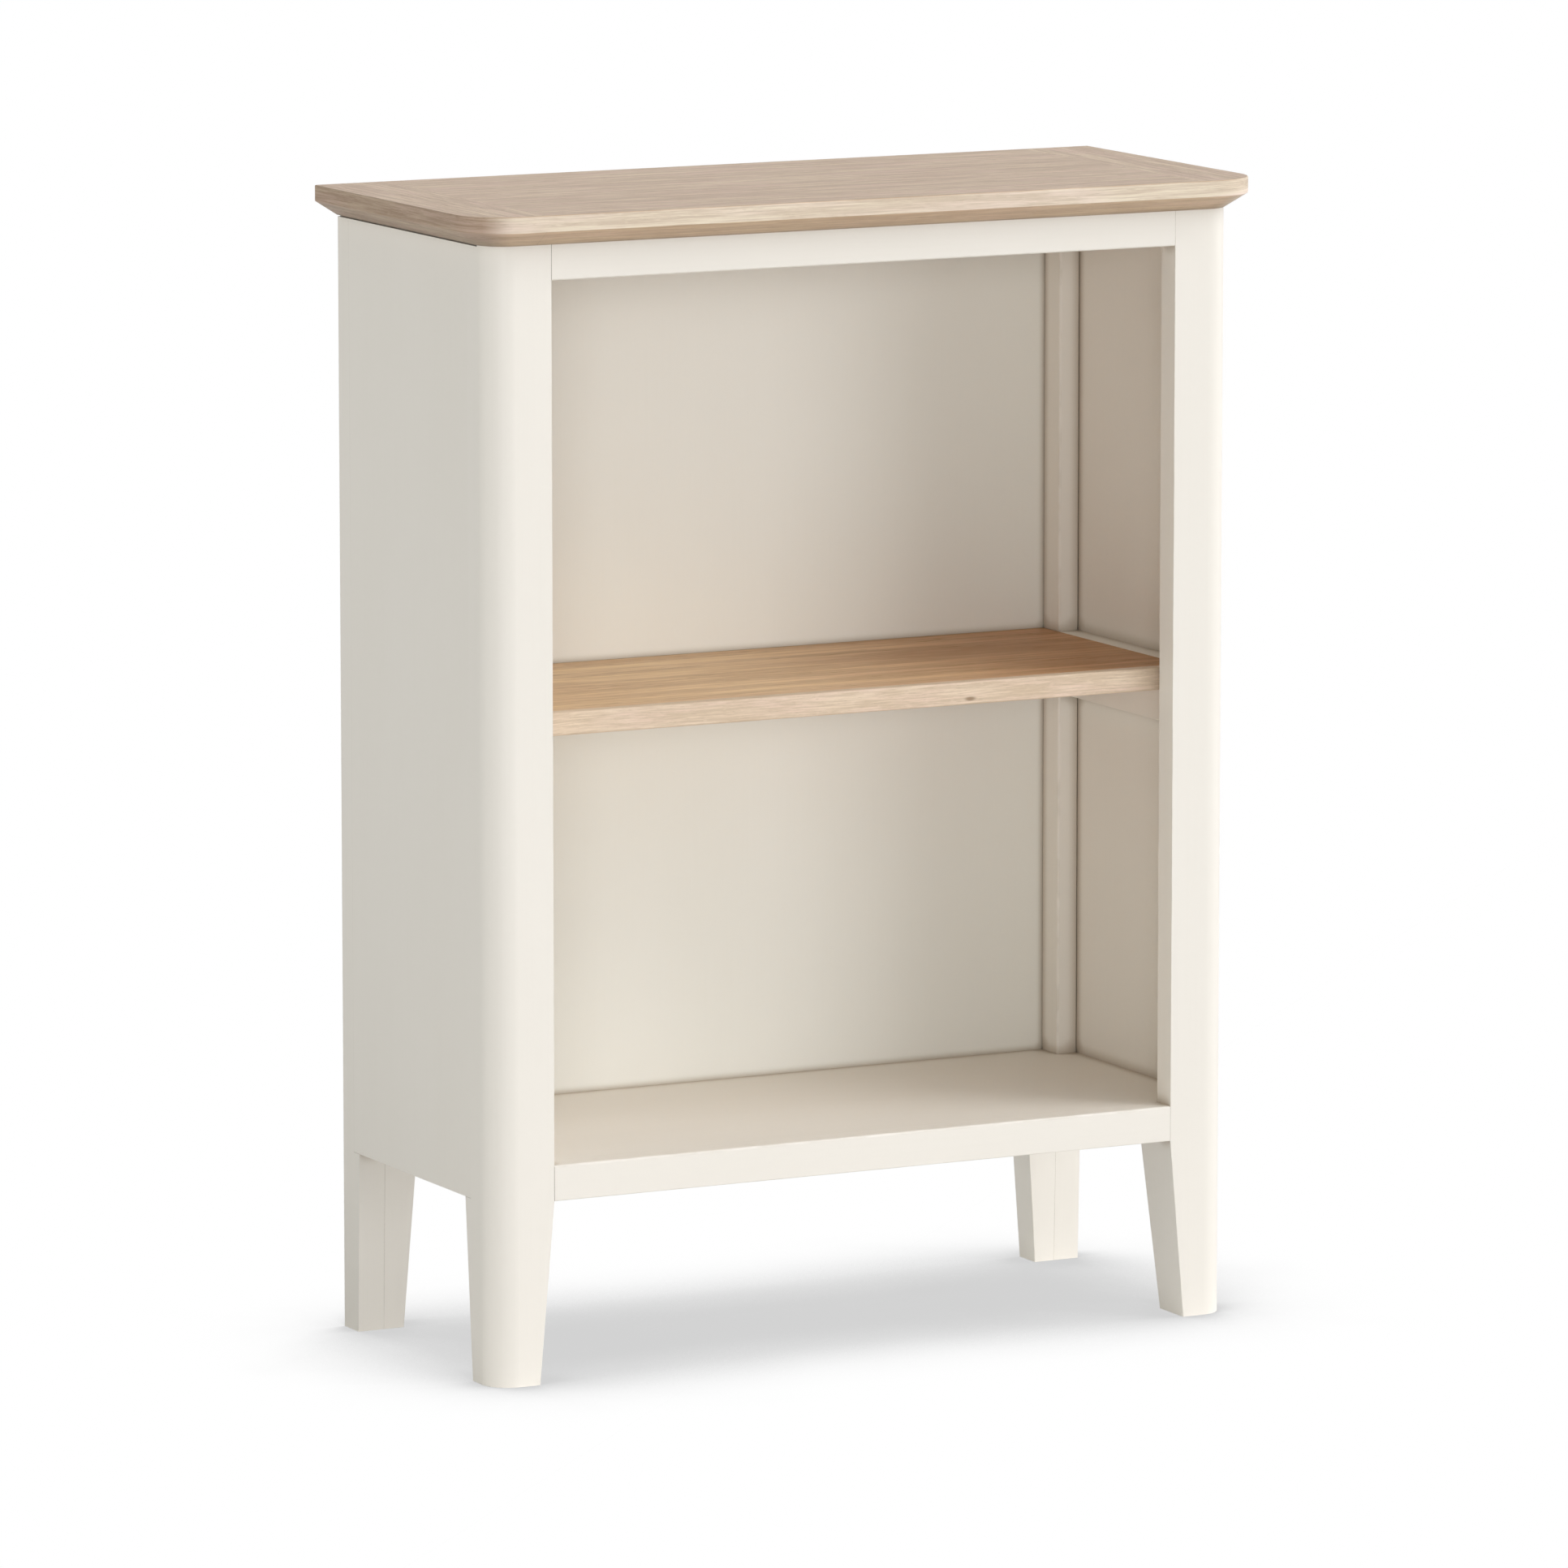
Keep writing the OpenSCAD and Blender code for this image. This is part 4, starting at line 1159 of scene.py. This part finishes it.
class BOOKCASE_OT_screws(bpy.types.Operator):
    """Models the countersunk screws with cross recesses, and sets one in each bore"""

    bl_idname = "bookcase.screws"
    bl_label = "Screws"

    def execute(self, context):
        sizes = context.scene.bookcase_sizes
        for node, axis in (("top_screws", "z"), ("base_screws", "z"), ("back_screws", "y")):
            self.set_screws(node, axis, sizes)
        return {"FINISHED"}

    def head_places(self, node, axis):
        """Centres of the heads' faces, read from the CAD node's own vertices, and their radius."""
        index = "xyz".index(axis)
        low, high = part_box(node)
        level = low.z if axis == "z" else high.y
        rims = [v.co.copy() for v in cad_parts[node].data.vertices
                if abs(v.co[index] - level) < ON_PLANE]
        heads = []
        for co in rims:
            near = next((head for head in heads if (head[0] - co).length < HEAD_SPACE), None)
            if near:
                near.append(co)
            else:
                heads.append([co])
        radius = max((a - b).length for a in heads[0] for b in heads[0]) / 2
        centres = [Vector((min(co[i] for co in head) + max(co[i] for co in head)) / 2
                          for i in range(3)) for head in heads]
        return centres, radius

    def set_screws(self, node, axis, sizes):
        """Sets a screw in each bore of a node, with the recesses turned one against the next."""
        centres, radius = self.head_places(node, axis)
        low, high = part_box(node)
        screw = self.model_screw(radius, (high - low)["xyz".index(axis)], sizes)
        copies = []
        for index, centre in enumerate(centres):
            focus(screw)
            bpy.ops.object.duplicate()
            copy = bpy.context.object
            copy.rotation_euler = (math.pi / 2 if axis == "y" else 0, 0, 0)
            copy.location = centre
            copy.data.transform(Matrix.Rotation(RECESS_TURN * index, 4, "Z"))
            bpy.ops.object.transform_apply(location=True, rotation=True, scale=True)
            copies.append(copy)
        focus(screw)
        bpy.ops.object.delete()
        bpy.ops.object.select_all(action="DESELECT")
        for copy in copies:
            copy.select_set(True)
        bpy.context.view_layer.objects.active = copies[0]
        bpy.ops.object.join()
        piece = bpy.context.object
        piece.name = "zinc_" + node
        piece.data.name = piece.name
        complete(piece, node, finish("zinc_plate", zinc_material))

    def model_screw(self, radius, length, sizes):
        """Models one screw along +Z with its head's face at the origin."""
        rim, head, point = sizes.screw_rim, sizes.screw_head, sizes.screw_point
        bpy.ops.object.select_all(action="DESELECT")
        bpy.ops.mesh.primitive_cylinder_add(
            vertices=SCREW_SIDES, radius=radius, depth=rim, location=(0, 0, rim / 2))
        screw = bpy.context.object
        bpy.ops.object.transform_apply(location=True, rotation=True, scale=True)

        def far_end(face):
            return face.normal.z > 0.99 and len(face.verts) > 8

        with Bench(screw) as bench:
            shank = length - head - point
            for rise, scale in ((head - rim, SHANK_SHARE), (shank, 1), (point, POINT_SHARE)):
                bench.pick("FACE", far_end)
                bpy.ops.mesh.extrude_region_move(TRANSFORM_OT_translate={"value": (0, 0, rise)})
                bpy.ops.transform.resize(value=(scale, scale, 1))
            bench.ease(at_zero, sizes.screw_arris)
        arm, slot, core = sizes.recess_arm, sizes.recess_slot, sizes.recess_core
        for half_x, half_y, depth in (
            (arm, slot, sizes.recess_d), (slot, arm, sizes.recess_d), (core, core, sizes.recess_core_d),
        ):
            carve(screw, Vector((-half_x, -half_y, -SPARE)), Vector((half_x, half_y, depth)))
        return screw


class BOOKCASE_OT_dowels(bpy.types.Operator):
    """Gives the dowels inside the joints their turned beech"""

    bl_idname = "bookcase.dowels"
    bl_label = "Dowels"

    def execute(self, context):
        for node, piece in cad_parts.items():
            if node.endswith("_dowels"):
                if not piece.material_slots:
                    raise RuntimeError(f"{node} has no material slot")
                for slot in piece.material_slots:
                    slot.material = finish("turned_beech", beech_material)
        return {"FINISHED"}


class BOOKCASE_OT_stage(bpy.types.Operator):
    """Sets the pale floor, the soft lamps, the white room and the camera"""

    bl_idname = "bookcase.stage"
    bl_label = "Stage"

    def execute(self, context):
        stage = context.scene.bookcase_stage
        self.lay_floor(stage)
        self.light_room(context, stage)
        for name, angles in LAMPS.items():
            lamp = self.hang_lamp(name + "_lamp", *(math.radians(value) for value in angles))
            lamp.energy = getattr(stage, name)
        bpy.data.objects["side_lamp"].data.color = stage.side_tone
        bpy.ops.object.camera_add(
            location=stage.eye, rotation=(math.pi / 2 - stage.tilt, 0, -stage.turn))
        camera = context.object
        camera.name = "photo_camera"
        camera.data.lens = stage.lens
        camera.data.sensor_width = SENSOR_WIDTH
        camera.data.clip_end = VIEW_END
        context.scene.camera = camera
        context.scene.view_settings.view_transform = "Standard"
        return {"FINISHED"}

    def lay_floor(self, stage):
        """Lays a floor that shows white with the shadow, and nothing from below."""
        bpy.ops.object.select_all(action="DESELECT")
        bpy.ops.mesh.primitive_plane_add(size=FLOOR_SIZE, location=(0, 0, 0))
        floor = bpy.context.object
        floor.name = "studio_floor"
        material = bpy.data.materials.new("studio_floor")
        wiring = wire_up(material)
        openness = wiring.openness(stage.shadow_reach, SHADOW_RAYS)
        white = wiring.ramp(openness, stage.shadow_core, stage.shadow_rim, stage.shadow, 1.0)
        seen = wiring.add("ShaderNodeEmission", {"Color": white})
        thrown = wiring.add("ShaderNodeBsdfDiffuse", {"Color": opaque(stage.bounce)})
        path = wiring.add("ShaderNodeLightPath")
        top = wiring.add("ShaderNodeMixShader", {
            0: path.outputs["Is Camera Ray"], 1: thrown.outputs[0], 2: seen.outputs[0]})
        clear = wiring.add("ShaderNodeBsdfTransparent")
        behind = wiring.add("ShaderNodeNewGeometry").outputs["Backfacing"]
        sides = wiring.add("ShaderNodeMixShader", {0: behind, 1: top.outputs[0], 2: clear.outputs[0]})
        wiring.add("ShaderNodeOutputMaterial", {"Surface": sides.outputs[0]})
        floor.data.materials.append(material)

    def light_room(self, context, stage):
        """Fills the room with even light, and shows it white."""
        world = bpy.data.worlds.new("studio_room")
        wiring = wire_up(world)
        path = wiring.add("ShaderNodeLightPath")
        seen = wiring.math("MAXIMUM", path.outputs["Is Camera Ray"], path.outputs["Is Glossy Ray"])
        seen = wiring.math("MAXIMUM", seen, path.outputs["Is Transmission Ray"])
        glow = wiring.ramp(seen, 0, 1, stage.sky, 1.0)
        light = wiring.add("ShaderNodeBackground", {"Color": (1, 1, 1, 1), "Strength": glow})
        wiring.add("ShaderNodeOutputWorld", {"Surface": light.outputs[0]})
        context.scene.world = world

    def hang_lamp(self, name, turn, height, spread):
        """Hangs a distant soft lamp, turned to the right of the front and raised, and returns its data."""
        level = math.cos(height)
        towards = Vector((math.sin(turn) * level, -math.cos(turn) * level, math.sin(height)))
        bpy.ops.object.light_add(type="SUN", location=towards * LAMP_DISTANCE)
        lamp = bpy.context.object
        lamp.name = name
        lamp.rotation_euler = (-towards).to_track_quat("-Z", "Y").to_euler()
        lamp.data.angle = spread
        return lamp.data


class BOOKCASE_PT_panel(bpy.types.Panel):
    """Sidebar panel that lists the bookcase's pieces and finishes"""

    bl_idname = "BOOKCASE_PT_panel"
    bl_label = "Low bookcase"
    bl_space_type = "VIEW_3D"
    bl_region_type = "UI"
    bl_category = "Bookcase"

    def draw(self, context):
        for operator in OPERATORS:
            self.layout.operator(operator.bl_idname)
        for group in GROUPS:
            values = getattr(context.scene, group)
            for name in values.__annotations__:
                self.layout.prop(values, name)


OPERATORS = (
    BOOKCASE_OT_oak_top,
    BOOKCASE_OT_oak_shelf,
    BOOKCASE_OT_front_frame,
    BOOKCASE_OT_corner_posts,
    BOOKCASE_OT_side_frames,
    BOOKCASE_OT_base_and_back,
    BOOKCASE_OT_screws,
    BOOKCASE_OT_dowels,
    BOOKCASE_OT_stage,
)
GROUPS = {
    "bookcase_sizes": BookcaseSizes,
    "bookcase_finishes": BookcaseFinishes,
    "bookcase_stage": BookcaseStage,
}


def register():
    for name, group in GROUPS.items():
        bpy.utils.register_class(group)
        setattr(bpy.types.Scene, name, PointerProperty(type=group))
    for operator in OPERATORS:
        bpy.utils.register_class(operator)
    bpy.utils.register_class(BOOKCASE_PT_panel)


def unregister():
    bpy.utils.unregister_class(BOOKCASE_PT_panel)
    for operator in reversed(OPERATORS):
        bpy.utils.unregister_class(operator)
    for name, group in reversed(GROUPS.items()):
        delattr(bpy.types.Scene, name)
        bpy.utils.unregister_class(group)


def main():
    register()
    bpy.ops.bookcase.stage()
    bpy.ops.bookcase.oak_top()
    bpy.ops.bookcase.oak_shelf()
    bpy.ops.bookcase.front_frame()
    bpy.ops.bookcase.corner_posts()
    bpy.ops.bookcase.side_frames()
    bpy.ops.bookcase.base_and_back()
    bpy.ops.bookcase.screws()
    bpy.ops.bookcase.dowels()


if __name__ == "__main__":
    main()
